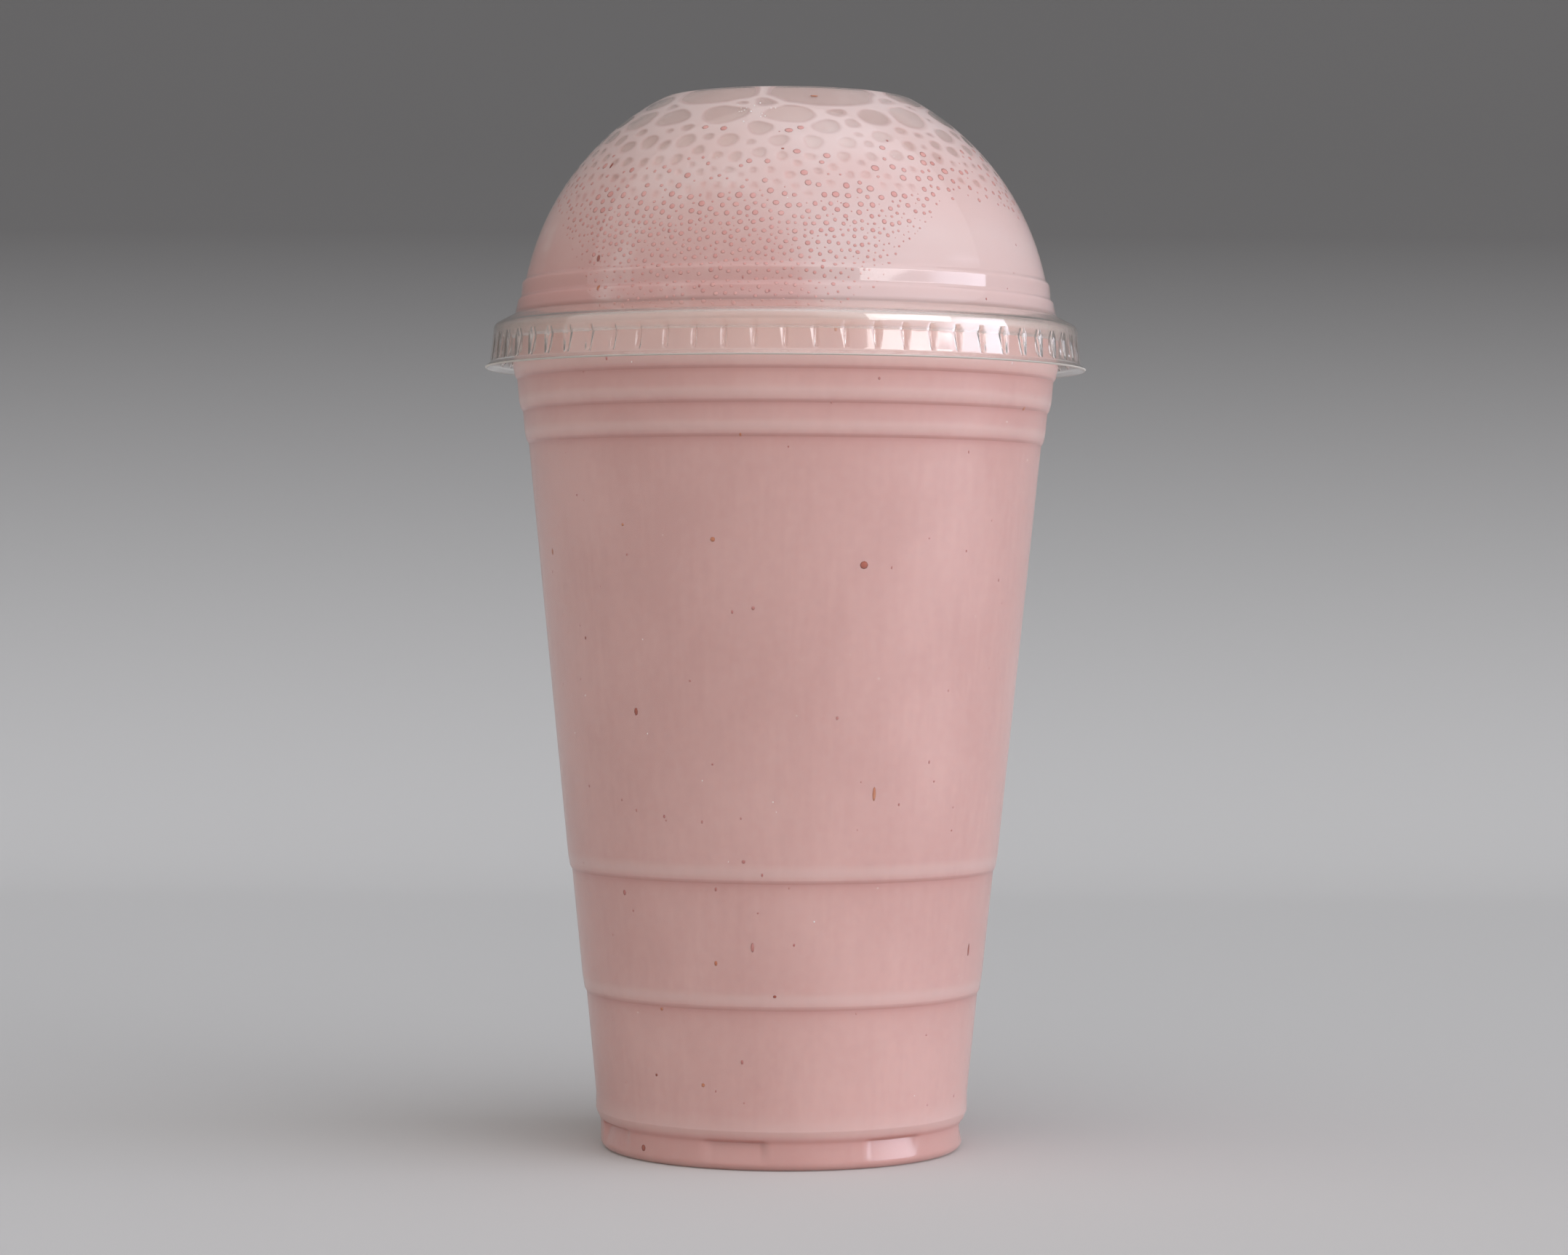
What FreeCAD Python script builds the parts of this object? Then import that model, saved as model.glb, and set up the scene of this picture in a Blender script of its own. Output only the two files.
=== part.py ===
import FreeCAD, Part
import os
import re
from collections import namedtuple

import Sketcher

# A milkshake in a clear ribbed takeaway cup with a snap-on dome lid, in millimetres, +Z up.
# The origin is on the cup's axis, in the plane that the foot stands on.
# Four separate solids: the thin cup with its rolled rim, the thin lid with its ring of snap darts,
# the drink that fills the cup, and the froth that fills the lid up to its flat top.

SIZES = [
    # cup
    ("cup_height", 139.65, "table to the top of the rolled rim"),
    ("rim_radius", 49.2, "outside of the rolled rim"),
    ("curl_radius", 1.6, "outside of the rim's curl, in section"),
    ("cup_wall", 0.4, "sheet of the cup"),
    ("foot_radius", 30.77, "outside of the foot band"),
    ("foot_height", 4.6, "table to the upper edge of the foot band"),
    ("foot_round", 1.5, "rounding under the foot band"),
    ("foot_ring_width", 3.2, "from the foot band's outside to the recess under the cup"),
    ("recess_height", 2.4, "depth of the recess under the cup"),
    ("recess_draft", 0.5, "how much the recess narrows upwards"),
    ("recess_round", 0.5, "rounding of the recess's edge"),
    ("base_ring_out", 0.85, "step out of the ring above the foot band"),
    ("base_ring_rise", 2.0, "height of that step"),
    ("base_straight", 2.9, "upright stretch of wall above that step"),
    ("low_ring_height", 26.3, "table to the lower edge of the low ring"),
    ("low_ring_out", 0.75, "step out of the low ring"),
    ("low_ring_rise", 2.5, "height of the low ring's step"),
    ("mid_ring_height", 47.1, "table to the lower edge of the middle ring"),
    ("mid_ring_out", 0.7, "step out of the middle ring"),
    ("mid_ring_rise", 2.1, "height of the middle ring's step"),
    ("collar_drop", 9.65, "rim top down to the lower edge of the top collar ring"),
    ("collar_pitch", 5.4, "height from one collar ring to the next"),
    ("collar_ring_out", 0.7, "step out of each collar ring"),
    ("collar_ring_rise", 1.7, "height of each collar ring's step"),
    ("collar_draft", 0.3, "how much the wall opens between two collar rings"),
    ("neck_draft", 0.15, "how much the wall opens from the top collar ring to the rim"),
    ("ring_round", 1.2, "rounding of the edges of every ring"),
    ("lug_count", 7, "shallow dents round the foot band"),
    ("lug_angle", 19, "width of a dent, in degrees"),
    ("lug_turn", -1.6, "turn of the ring of dents about the axis, in degrees"),
    ("lug_depth", 0.8, "depth of a dent at its upper end"),
    ("lug_start", 1.0, "height at which a dent starts"),
    # lid
    ("lid_wall", 0.35, "sheet of the lid"),
    ("seat_gap", 0.1, "between the rim and the land of the lid above it"),
    ("skirt_gap", 0.15, "between the rim and the waist of the skirt around it"),
    ("land_slope", 0.533, "fall of the lid's land for each millimetre outwards"),
    ("shoulder_draft", 0.2, "how much the skirt widens from its shoulder to its waist"),
    ("shoulder_round", 1.2, "rounding between the land and the skirt"),
    ("waist_drop", 2.05, "rim top down to the upper end of the skirt's waist"),
    ("waist_height", 0.4, "height of the nearly upright waist"),
    ("waist_draft", 0.04, "how much the waist widens downwards"),
    ("skirt_drop", 6.65, "rim top down to the lower end of the skirt"),
    ("skirt_flare", 0.5, "how much the skirt widens from its waist to its lower end"),
    ("lip_drop", 0.7, "height of the flared lip under the skirt"),
    ("lip_out", 0.85, "how far the lip flares beyond the skirt"),
    ("land_inset", 3.2, "from the rim's outside in to the foot of the lid's low step"),
    ("low_step_draft", 0.5, "how much the low step narrows upwards"),
    ("low_step_rise", 4.45, "rim top up to the ledge of the low step"),
    ("low_step_out", 0.5, "width of the low step's ledge"),
    ("high_step_draft", 0.15, "how much the high step narrows upwards"),
    ("high_step_rise", 7.55, "rim top up to the ledge of the high step"),
    ("high_step_out", 0.65, "width of the high step's ledge"),
    ("step_round", 0.3, "rounding of the edges of the steps"),
    ("dome_height", 38.25, "rim top up to the flat top of the dome"),
    ("crown_radius", 21.35, "where the dome's curve meets the flat top"),
    ("crown_round", 2.0, "rounding of that edge"),
    ("hole_radius", 12.5, "round straw hole in the flat top"),
    ("dart_count", 64, "snap darts round the skirt"),
    ("dart_radius", 1.4, "radius of the round-nosed punch that presses a dart"),
    ("dart_depth", 0.8, "depth of a dart at its widest"),
    ("dart_drop", 3.95, "rim top down to the widest place of a dart"),
    ("dart_reach", 2.3, "from there down to the point of a dart"),
    # contents
    ("fill_gap", 0.1, "between the contents and the walls that hold them"),
    ("dip_depth", 4.5, "hollow in the froth under the straw hole"),
    ("dip_margin", 1.0, "how far the hollow reaches past the edge of the hole"),
    ("dip_round", 3.0, "rounding of the bottom of the hollow"),
]

# Two points closer than this are the same, in millimetres.
TOUCHING = 1e-5
# Rings of the collar under the rim; each is two corners of the cup's outline.
COLLAR_RINGS = 3

# Formulas over the sheet that more than one feature uses.
CURL_X = "(rim_radius - curl_radius)"
CURL_Z = "(cup_height - curl_radius)"
NECK_X = "(rim_radius - 2 * curl_radius + cup_wall)"
BASE_X = "(foot_radius + base_ring_out)"
BASE_Z = "(foot_height + base_ring_rise + base_straight)"
COLLAR_X = (
    f"({NECK_X} - neck_draft - {COLLAR_RINGS} * collar_ring_out"
    f" - {COLLAR_RINGS - 1} * collar_draft)"
)
COLLAR_Z = f"(cup_height - collar_drop - {COLLAR_RINGS - 1} * collar_pitch)"
TAPER = (
    f"(({COLLAR_X} - {BASE_X} - low_ring_out - mid_ring_out)"
    f" / ({COLLAR_Z} - {BASE_Z} - low_ring_rise - mid_ring_rise))"
)
RECESS_X = "(foot_radius - foot_ring_width)"
LAND_X = "(rim_radius - land_inset)"
SKIRT_X = "(rim_radius + skirt_gap + lid_wall)"
WAIST_Z = "(cup_height - waist_drop - waist_height)"
SKIRT_Z = "(cup_height - skirt_drop)"
LIP_Z = f"({SKIRT_Z} - lip_drop)"
LOW_STEP_X = f"({LAND_X} - low_step_draft)"
HIGH_STEP_X = f"({LOW_STEP_X} - low_step_out - high_step_draft)"
DOME_FOOT_X = f"({HIGH_STEP_X} - high_step_out)"
DOME_FOOT_Z = "(cup_height + high_step_rise)"
CROWN_Z = "(cup_height + dome_height)"
DOME_CENTRE = (
    f"(({CROWN_Z}^2 - {DOME_FOOT_Z}^2 + crown_radius^2 - {DOME_FOOT_X}^2)"
    f" / (2 * ({CROWN_Z} - {DOME_FOOT_Z})))"
)
DOME_RADIUS = f"sqrt(crown_radius^2 + ({CROWN_Z} - {DOME_CENTRE})^2)"
# A sheet of even thickness round a corner of 45 degrees shifts the corner by this much of itself.
MITRE = "(sqrt(2) - 1)"

# A corner of an outline: distance from the axis, height, the size that rounds it, and
# whether it ends the dome's arc, which then sets its distance from the axis.
Corner = namedtuple("Corner", "x z rounding on_dome", defaults=("", False))

SKETCH_NORMAL = FreeCAD.Vector(0, 0, 1)

document = FreeCAD.newDocument("Milkshake")


def add_sheet():
    """Adds the sheet that holds every driving size."""
    sheet = document.addObject("Spreadsheet::Sheet", "Sizes")
    for row, (alias, value, note) in enumerate(SIZES, start=1):
        sheet.set(f"A{row}", alias)
        sheet.set(f"B{row}", str(value))
        sheet.setAlias(f"B{row}", alias)
        sheet.set(f"C{row}", note)
    document.recompute()


def on_sheet(formula):
    """The same formula with every alias read from the sheet."""
    return re.sub(r"[a-z]+(?:_[a-z]+)+", lambda word: f"Sizes.{word.group()}", formula)


def add_body(label):
    body = document.addObject("PartDesign::Body", label)
    body.Label = label
    return body


def origin_feature(body, role):
    """One of a body's own origin planes or axes."""
    return next(item for item in body.Origin.OriginFeatures if item.Role == role)


def add_sketch(body, name):
    """An empty sketch on the body's upright plane, where x is the distance from the axis and y the height."""
    sketch = body.newObject("Sketcher::SketchObject", name)
    sketch.AttachmentSupport = (origin_feature(body, "XZ_Plane"), [""])
    sketch.MapMode = "FlatFace"
    return sketch


def value_of(feature, formula):
    """What a formula over the sheet comes to now."""
    return float(feature.evalExpression(on_sheet(formula)))


def point_at(sketch, x, z):
    """The sketch point at a distance from the axis and a height, both formulas."""
    return FreeCAD.Vector(value_of(sketch, x), value_of(sketch, z), 0)


def constrain(sketch, formula, *arguments):
    """Adds a sketch dimension that follows a formula over the sheet."""
    index = sketch.addConstraint(Sketcher.Constraint(*arguments, value_of(sketch, formula)))
    sketch.setExpression(f"Constraints[{index}]", on_sheet(formula))


def fix_point(sketch, edge, end, x, z):
    """Places the end of a sketch edge by its distance from the axis and its height."""
    if x:
        constrain(sketch, x, "DistanceX", -1, 1, edge, end)
    constrain(sketch, z, "DistanceY", -1, 1, edge, end)


def draw_outline(sketch, corners, inset="0"):
    """Draws a closed outline; the edge between two dome corners is an arc about the axis."""
    points = [point_at(sketch, corner.x, corner.z) for corner in corners]
    following = corners[1:] + corners[:1]
    for index, (corner, after) in enumerate(zip(corners, following)):
        start, end = points[index], points[(index + 1) % len(points)]
        if corner.on_dome and after.on_dome:
            centre = point_at(sketch, "0", DOME_CENTRE)
            circle = Part.Circle(centre, SKETCH_NORMAL, (end - centre).Length)
            ends = [circle.parameter(point) for point in (start, end)]
            sketch.addGeometry(Part.ArcOfCircle(circle, *ends))
            sketch.addConstraint(Sketcher.Constraint("PointOnObject", index, 3, -2))
            constrain(sketch, DOME_CENTRE, "DistanceY", -1, 1, index, 3)
            constrain(sketch, f"{DOME_RADIUS} - ({inset})", "Radius", index)
        else:
            sketch.addGeometry(Part.LineSegment(start, end))
    for index, corner in enumerate(corners):
        before = (index - 1) % len(corners)
        sketch.addConstraint(Sketcher.Constraint("Coincident", before, 2, index, 1))
        fix_point(sketch, index, 1, "" if corner.on_dome else corner.x, corner.z)


def turned_edges(feature, points):
    """Names of the feature's round edges that sketch points make when they turn about the axis."""
    return [
        f"Edge{number}"
        for number, edge in enumerate(feature.Shape.Edges, start=1)
        if isinstance(edge.Curve, Part.Circle)
        and any(
            abs(edge.Curve.Radius - point.x) < TOUCHING and abs(edge.Curve.Center.z - point.y) < TOUCHING
            for point in points
        )
    ]


def round_corners(body, feature, sketch, corners):
    """Rounds the turned edges under the outline's corners that name a rounding."""
    for size in sorted({corner.rounding for corner in corners if corner.rounding}):
        wanted = [
            sketch.Geometry[index].StartPoint
            for index, corner in enumerate(corners)
            if corner.rounding == size
        ]
        fillet = body.newObject("PartDesign::Fillet", f"{feature.Name}_{size}")
        fillet.Base = (feature, turned_edges(feature, wanted))
        fillet.setExpression("Radius", on_sheet(size))
        document.recompute()
        feature = fillet
    return feature


def turn(body, kind, name, corners, inset="0"):
    """Turns a closed outline about the axis, as a Revolution or a Groove, and rounds its corners."""
    sketch = add_sketch(body, f"{name}_outline")
    draw_outline(sketch, corners, inset)
    feature = body.newObject(f"PartDesign::{kind}", name)
    feature.Profile = sketch
    feature.ReferenceAxis = (sketch, ["V_Axis"])
    feature.Angle = 360
    document.recompute()
    return round_corners(body, feature, sketch, corners)


def repeat_round(body, feature, name, count):
    """Repeats a feature evenly round the axis."""
    pattern = body.newObject("PartDesign::PolarPattern", name)
    pattern.Originals = [feature]
    pattern.Axis = (origin_feature(body, "Z_Axis"), [""])
    pattern.Angle = 360
    pattern.setExpression("Occurrences", on_sheet(count))
    body.Tip = pattern
    document.recompute()


def body_radius(height, rings_out, rings_rise):
    """Radius of the tapered wall at a height, above rings of the given total step and rise."""
    return f"({BASE_X} + {rings_out} + {TAPER} * ({height} - {BASE_Z} - ({rings_rise})))"


def cup_corners(inset):
    """The cup's outline, from the recess under it up to the rim, moved inwards by an inset."""
    low_top = "(low_ring_height + low_ring_rise)"
    mid_top = "(mid_ring_height + mid_ring_rise)"
    both_out = "(low_ring_out + mid_ring_out)"
    both_rise = "low_ring_rise + mid_ring_rise"
    walls = [
        ("foot_radius", "foot_height", "ring_round"),
        (BASE_X, "foot_height + base_ring_rise", "ring_round"),
        (BASE_X, BASE_Z, ""),
        (body_radius("low_ring_height", "0", "0"), "low_ring_height", "ring_round"),
        (body_radius(low_top, "low_ring_out", "low_ring_rise"), low_top, "ring_round"),
        (body_radius("mid_ring_height", "low_ring_out", "low_ring_rise"), "mid_ring_height", "ring_round"),
        (body_radius(mid_top, both_out, both_rise), mid_top, "ring_round"),
    ]
    for ring in range(COLLAR_RINGS):
        low_edge = f"{COLLAR_Z} + {ring} * collar_pitch"
        radius = f"{COLLAR_X} + {ring} * (collar_ring_out + collar_draft)"
        walls.append((radius, low_edge, "ring_round"))
        walls.append((f"{radius} + collar_ring_out", f"{low_edge} + collar_ring_rise", "ring_round"))
    walls.append((NECK_X, CURL_Z, ""))
    return [
        Corner("0", f"recess_height + {inset}"),
        Corner(f"{RECESS_X} - recess_draft + {inset}", f"recess_height + {inset}", "recess_round"),
        Corner(f"{RECESS_X} + {inset}", inset, "recess_round"),
        Corner(f"foot_radius - ({inset})", inset),
        *(Corner(f"{radius} - ({inset})", height, size) for radius, height, size in walls),
        Corner("0", CURL_Z),
    ]


def round_foot(body, inset):
    """Rounds the edge under the foot band; an inset surface has the smaller radius of the same bend."""
    feature = body.Tip
    corner = point_at(feature, f"foot_radius - ({inset})", inset)
    fillet = body.newObject("PartDesign::Fillet", "Foot_round")
    fillet.Base = (feature, turned_edges(feature, [corner]))
    fillet.setExpression("Radius", on_sheet(f"foot_round - ({inset})"))
    document.recompute()


def press_lugs(body, inset):
    """Presses the ring of shallow dents into the foot band, deepest under the base ring."""
    surface = f"foot_radius - ({inset})"
    beyond = f"{BASE_X} + lug_depth"
    ceiling = f"foot_height + {inset}"
    sketch = add_sketch(body, "Lug_outline")
    sketch.AttachmentOffset = FreeCAD.Placement(
        FreeCAD.Vector(), FreeCAD.Rotation(FreeCAD.Vector(0, 1, 0), 1)
    )
    sketch.setExpression("AttachmentOffset.Rotation.Angle", on_sheet("lug_turn"))
    draw_outline(
        sketch,
        [
            Corner(surface, "lug_start"),
            Corner(beyond, "lug_start"),
            Corner(beyond, ceiling),
            Corner(f"{surface} - lug_depth", ceiling),
        ],
    )
    groove = body.newObject("PartDesign::Groove", "Lug")
    groove.Profile = sketch
    groove.ReferenceAxis = (sketch, ["V_Axis"])
    groove.Midplane = True
    groove.setExpression("Angle", on_sheet(f"lug_angle + 2 * ({inset}) / foot_radius * 180 / pi"))
    document.recompute()
    repeat_round(body, groove, "Lugs", "lug_count")


def add_cup_form(label, inset):
    """A solid bounded by the cup's outline at an inset: its outside, its inside or its contents."""
    body = add_body(label)
    turn(body, "Revolution", "Wall", cup_corners(inset))
    round_foot(body, inset)
    press_lugs(body, inset)
    return body


def roll_rim(body):
    """Adds the rolled rim: a strip of sheet that curls up, out and down from the neck."""
    sketch = add_sketch(body, "Curl_outline")
    centre = point_at(sketch, CURL_X, CURL_Z)
    for arc, radius in enumerate(["curl_radius", "curl_radius - cup_wall"]):
        circle = Part.Circle(centre, SKETCH_NORMAL, value_of(sketch, radius))
        under = circle.parameter(centre - FreeCAD.Vector(0, 1, 0))
        at_neck = circle.parameter(centre - FreeCAD.Vector(1, 0, 0))
        sketch.addGeometry(Part.ArcOfCircle(circle, under, at_neck))
        sketch.addConstraint(Sketcher.Constraint("Vertical", arc, 3, arc, 1))
        sketch.addConstraint(Sketcher.Constraint("Horizontal", arc, 3, arc, 2))
        constrain(sketch, radius, "Radius", arc)
    fix_point(sketch, 0, 3, CURL_X, CURL_Z)
    sketch.addConstraint(Sketcher.Constraint("Coincident", 0, 3, 1, 3))
    outer, inner = sketch.Geometry
    for strip_end, (start, end) in enumerate(
        [(outer.StartPoint, inner.StartPoint), (outer.EndPoint, inner.EndPoint)], start=1
    ):
        line = sketch.addGeometry(Part.LineSegment(start, end))
        sketch.addConstraint(Sketcher.Constraint("Coincident", line, 1, 0, strip_end))
        sketch.addConstraint(Sketcher.Constraint("Coincident", line, 2, 1, strip_end))
    curl = body.newObject("PartDesign::Revolution", "Curl")
    curl.Profile = sketch
    curl.ReferenceAxis = (sketch, ["V_Axis"])
    curl.Angle = 360
    document.recompute()


def land_height(radius, inset):
    """Height of the lid's land at a radius: parallel to the line that clears the rim's curl."""
    reach = f"(curl_radius + seat_gap + lid_wall - ({inset}))"
    return f"{CURL_Z} + {reach} * sqrt(1 + land_slope^2) - land_slope * ({radius} - {CURL_X})"


def dome_corners(inset):
    """The lid's outline above its land, from the foot of the low step to the flat top."""
    return [
        Corner(
            f"{LOW_STEP_X} - ({inset})",
            f"cup_height + low_step_rise - low_step_out - {MITRE} * ({inset})",
            "step_round",
        ),
        Corner(
            f"{LOW_STEP_X} - low_step_out - ({inset})",
            f"cup_height + low_step_rise - {MITRE} * ({inset})",
            "step_round",
        ),
        Corner(
            f"{HIGH_STEP_X} - ({inset})",
            f"{DOME_FOOT_Z} - high_step_out - {MITRE} * ({inset})",
            "step_round",
        ),
        Corner(f"{DOME_FOOT_X} - ({inset})", f"{DOME_FOOT_Z} - {MITRE} * ({inset})", "step_round", True),
        Corner("crown_radius", f"{CROWN_Z} - ({inset})", "crown_round", True),
        Corner("0", f"{CROWN_Z} - ({inset})"),
    ]


def lid_corners(inset):
    """The lid's whole outline, from its lip up to the flat top, moved inwards by an inset."""
    land_x = f"{LAND_X} - ({inset})"
    shoulder_x = f"{SKIRT_X} - shoulder_draft - ({inset})"
    skirt_x = f"{SKIRT_X} + skirt_flare - ({inset})"
    return [
        Corner("0", LIP_Z),
        Corner(f"{skirt_x} + lip_out", LIP_Z),
        Corner(skirt_x, SKIRT_Z, "step_round"),
        Corner(f"{SKIRT_X} + waist_draft - ({inset})", WAIST_Z),
        Corner(f"{SKIRT_X} - ({inset})", f"{WAIST_Z} + waist_height"),
        Corner(shoulder_x, land_height(shoulder_x, inset), "shoulder_round"),
        Corner(land_x, land_height(land_x, inset), "step_round"),
        *dome_corners(inset),
    ]


def press_darts(body, inset):
    """Presses the ring of snap darts into the skirt with a round-nosed punch that leans outwards."""
    nose_z = "(cup_height - dart_drop)"
    flare = f"((skirt_flare - waist_draft) / ({WAIST_Z} - {SKIRT_Z}))"
    surface_x = f"({SKIRT_X} + skirt_flare - {flare} * ({nose_z} - {SKIRT_Z}))"
    lean = f"({flare} + dart_depth / dart_reach)"
    slant = f"sqrt(1 + {lean}^2)"
    nose_x = f"({surface_x} - dart_depth + dart_radius * {slant})"
    radius = f"(dart_radius + {inset})"
    # the nose's centre, the butt of the punch on its axis, and the butt's rim
    butt_x = f"({nose_x} + {lean} * dart_reach)"
    butt_z = f"({nose_z} - dart_reach)"
    sketch = add_sketch(body, "Dart_outline")
    corners = {
        name: point_at(sketch, x, z)
        for name, (x, z) in {
            "nose": (nose_x, nose_z),
            "butt": (butt_x, butt_z),
            "rim": (f"{butt_x} - {radius} / {slant}", f"{butt_z} - {lean} * {radius} / {slant}"),
            "side": (f"{nose_x} - {radius} / {slant}", f"{nose_z} - {lean} * {radius} / {slant}"),
            "tip": (f"{nose_x} - {lean} * {radius} / {slant}", f"{nose_z} + {radius} / {slant}"),
        }.items()
    }
    circle = Part.Circle(corners["nose"], SKETCH_NORMAL, (corners["tip"] - corners["nose"]).Length)
    tip, side_start = (circle.parameter(corners[name]) for name in ("tip", "side"))
    axis = sketch.addGeometry(Part.LineSegment(corners["butt"], corners["tip"]))
    nose = sketch.addGeometry(Part.ArcOfCircle(circle, tip, side_start))
    side = sketch.addGeometry(Part.LineSegment(corners["side"], corners["rim"]))
    butt = sketch.addGeometry(Part.LineSegment(corners["rim"], corners["butt"]))
    ends = [(axis, 2, nose, 1), (side, 2, butt, 1), (butt, 2, axis, 1)]
    for first, first_end, second, second_end in ends:
        sketch.addConstraint(Sketcher.Constraint("Coincident", first, first_end, second, second_end))
    fix_point(sketch, axis, 1, butt_x, butt_z)
    fix_point(sketch, nose, 3, nose_x, nose_z)
    sketch.addConstraint(Sketcher.Constraint("PointOnObject", nose, 3, axis))
    sketch.addConstraint(Sketcher.Constraint("Tangent", nose, 2, side, 1))
    sketch.addConstraint(Sketcher.Constraint("Parallel", side, axis))
    sketch.addConstraint(Sketcher.Constraint("Perpendicular", butt, axis))
    constrain(sketch, radius, "Radius", nose)
    groove = body.newObject("PartDesign::Groove", "Dart")
    groove.Profile = sketch
    groove.ReferenceAxis = (sketch, [f"Edge{axis + 1}"])
    groove.Angle = 360
    document.recompute()
    repeat_round(body, groove, "Darts", "dart_count")


def add_lid_form(label, inset):
    """A solid bounded by the lid's outline at an inset: its outside or its inside."""
    body = add_body(label)
    turn(body, "Revolution", "Dome", lid_corners(inset), inset)
    press_darts(body, inset)
    return body


def punch_hole(body):
    """Punches the round straw hole into the flat top."""
    floor = f"{CROWN_Z} - 2 * lid_wall"
    above = f"{CROWN_Z} + lid_wall"
    turn(
        body,
        "Groove",
        "Hole",
        [Corner("0", floor), Corner("hole_radius", floor), Corner("hole_radius", above), Corner("0", above)],
    )


def hollow_out(label, form, inside):
    """A thin piece: one body with another cut out of it."""
    shell = document.addObject("Part::Cut", label)
    shell.Label = label
    shell.Base = form
    shell.Tool = inside
    document.recompute()
    return shell


def add_cup():
    form = add_cup_form("cup_form", "0")
    roll_rim(form)
    return hollow_out("cup", form, add_cup_form("cup_inside", "cup_wall"))


def add_lid():
    form = add_lid_form("lid_form", "0")
    punch_hole(form)
    return hollow_out("lid", form, add_lid_form("lid_inside", "lid_wall"))


def add_milkshake():
    return add_cup_form("milkshake", "cup_wall + fill_gap")


def add_froth():
    """The froth: it stands on the drink, fills the lid and dips a little under the straw hole."""
    inset = "lid_wall + fill_gap"
    land_x = f"{LAND_X} - ({inset})"
    neck_x = f"{NECK_X} - cup_wall - fill_gap"
    neck_fill_x = f"min({land_x}; {neck_x})"
    body = add_body("froth")
    corners = [
        Corner("0", CURL_Z),
        Corner(neck_fill_x, CURL_Z),
        Corner(land_x, land_height(land_x, inset)),
        *dome_corners(inset),
    ]
    turn(body, "Revolution", "Head", corners, inset)
    surface = f"{CROWN_Z} - ({inset})"
    dip = "hole_radius + dip_margin"
    turn(
        body,
        "Groove",
        "Dip",
        [
            Corner("0", f"{surface} - dip_depth"),
            Corner(dip, f"{surface} - dip_depth", "dip_round"),
            Corner(dip, f"{surface} + lid_wall"),
            Corner("0", f"{surface} + lid_wall"),
        ],
    )
    return body


def write_parts(pieces):
    """Checks the whole document, then writes each piece to its own STEP file."""
    document.recompute()
    for item in document.Objects:
        if {"Invalid", "Error"} & set(item.State):
            raise RuntimeError(f"{item.Label} didn't build: {item.State}")
    for piece in pieces:
        if piece.Shape.isNull() or not piece.Shape.isValid() or len(piece.Shape.Solids) != 1:
            raise RuntimeError(f"{piece.Label} isn't one valid solid")
    os.makedirs("parts", exist_ok=True)
    for piece in pieces:
        piece.Shape.exportStep(f"parts/{piece.Label}.step")
        box = piece.Shape.BoundBox
        print(f"{piece.Label}: {piece.Shape.Volume:.1f} mm3, z {box.ZMin:.2f} to {box.ZMax:.2f}")


add_sheet()
write_parts([add_cup(), add_lid(), add_milkshake(), add_froth()])
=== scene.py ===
"""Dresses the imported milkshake: clear ribbed cup, snap-on dome lid, the drink and its bubbly froth.

Sizes in the classes are millimetres, heights are above the table, and angles are degrees round the
axis, counted from the side that faces the camera towards +X unless a docstring says otherwise.
"""

import logging
import math
from collections.abc import Callable, Sequence
from dataclasses import dataclass, field
from enum import Enum
from typing import Any

import bpy
import numpy as np
from mathutils import Euler, Matrix, Vector


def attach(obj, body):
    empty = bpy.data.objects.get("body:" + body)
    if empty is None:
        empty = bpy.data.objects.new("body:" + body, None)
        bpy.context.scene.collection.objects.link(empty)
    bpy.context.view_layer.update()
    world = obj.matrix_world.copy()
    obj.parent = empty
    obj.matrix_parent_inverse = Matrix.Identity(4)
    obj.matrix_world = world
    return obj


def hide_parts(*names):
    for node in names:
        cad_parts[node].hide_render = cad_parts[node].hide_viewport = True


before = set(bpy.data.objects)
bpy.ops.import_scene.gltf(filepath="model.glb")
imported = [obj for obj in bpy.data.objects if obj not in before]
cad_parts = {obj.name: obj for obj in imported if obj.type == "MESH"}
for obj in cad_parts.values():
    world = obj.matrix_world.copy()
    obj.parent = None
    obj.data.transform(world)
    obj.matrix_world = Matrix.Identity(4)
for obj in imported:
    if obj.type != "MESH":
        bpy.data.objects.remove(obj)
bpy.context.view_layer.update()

LOG = logging.getLogger("milkshake")
MM = 0.001
BODY = "root"
FRONT = -90.0  # the camera side, as an angle from the +X axis
ON_AXIS = 1e-9  # a point nearer to the axis than this, in millimetres, is a pole
NEARLY_HALF = 0.48  # how much of a side a rounded corner may take

Socket = bpy.types.NodeSocket
Stops = tuple[tuple[float, str], ...]


# ---------------------------------------------------------------- nodes and colours


def linear(hex_colour: str) -> tuple[float, float, float, float]:
    """Turns an sRGB hex colour into Blender's linear colour.

    Args:
        hex_colour: six hex digits, with or without a leading hash.

    Returns:
        Linear red, green and blue, and an alpha of one.
    """
    digits = hex_colour.lstrip("#")
    channels = [int(digits[i : i + 2], 16) / 255 for i in (0, 2, 4)]
    return tuple(c / 12.92 if c <= 0.04045 else ((c + 0.055) / 1.055) ** 2.4 for c in channels) + (1.0,)


def add_node(
    tree: bpy.types.NodeTree, kind: str, inputs: dict[str | int, Any] | None = None, **settings: Any
) -> bpy.types.Node:
    """Adds one node with its settings and its inputs.

    Args:
        tree: the shader or geometry tree.
        kind: the node's type name.
        inputs: for each input socket, by name or number, its value or the output it is linked to.
        settings: properties of the node itself.

    Returns:
        The new node.
    """
    node = tree.nodes.new(kind)
    for name, value in settings.items():
        setattr(node, name, value)
    for socket, given in (inputs or {}).items():
        if isinstance(given, bpy.types.NodeSocket):
            tree.links.new(given, node.inputs[socket])
        else:
            node.inputs[socket].default_value = given
    return node


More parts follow.
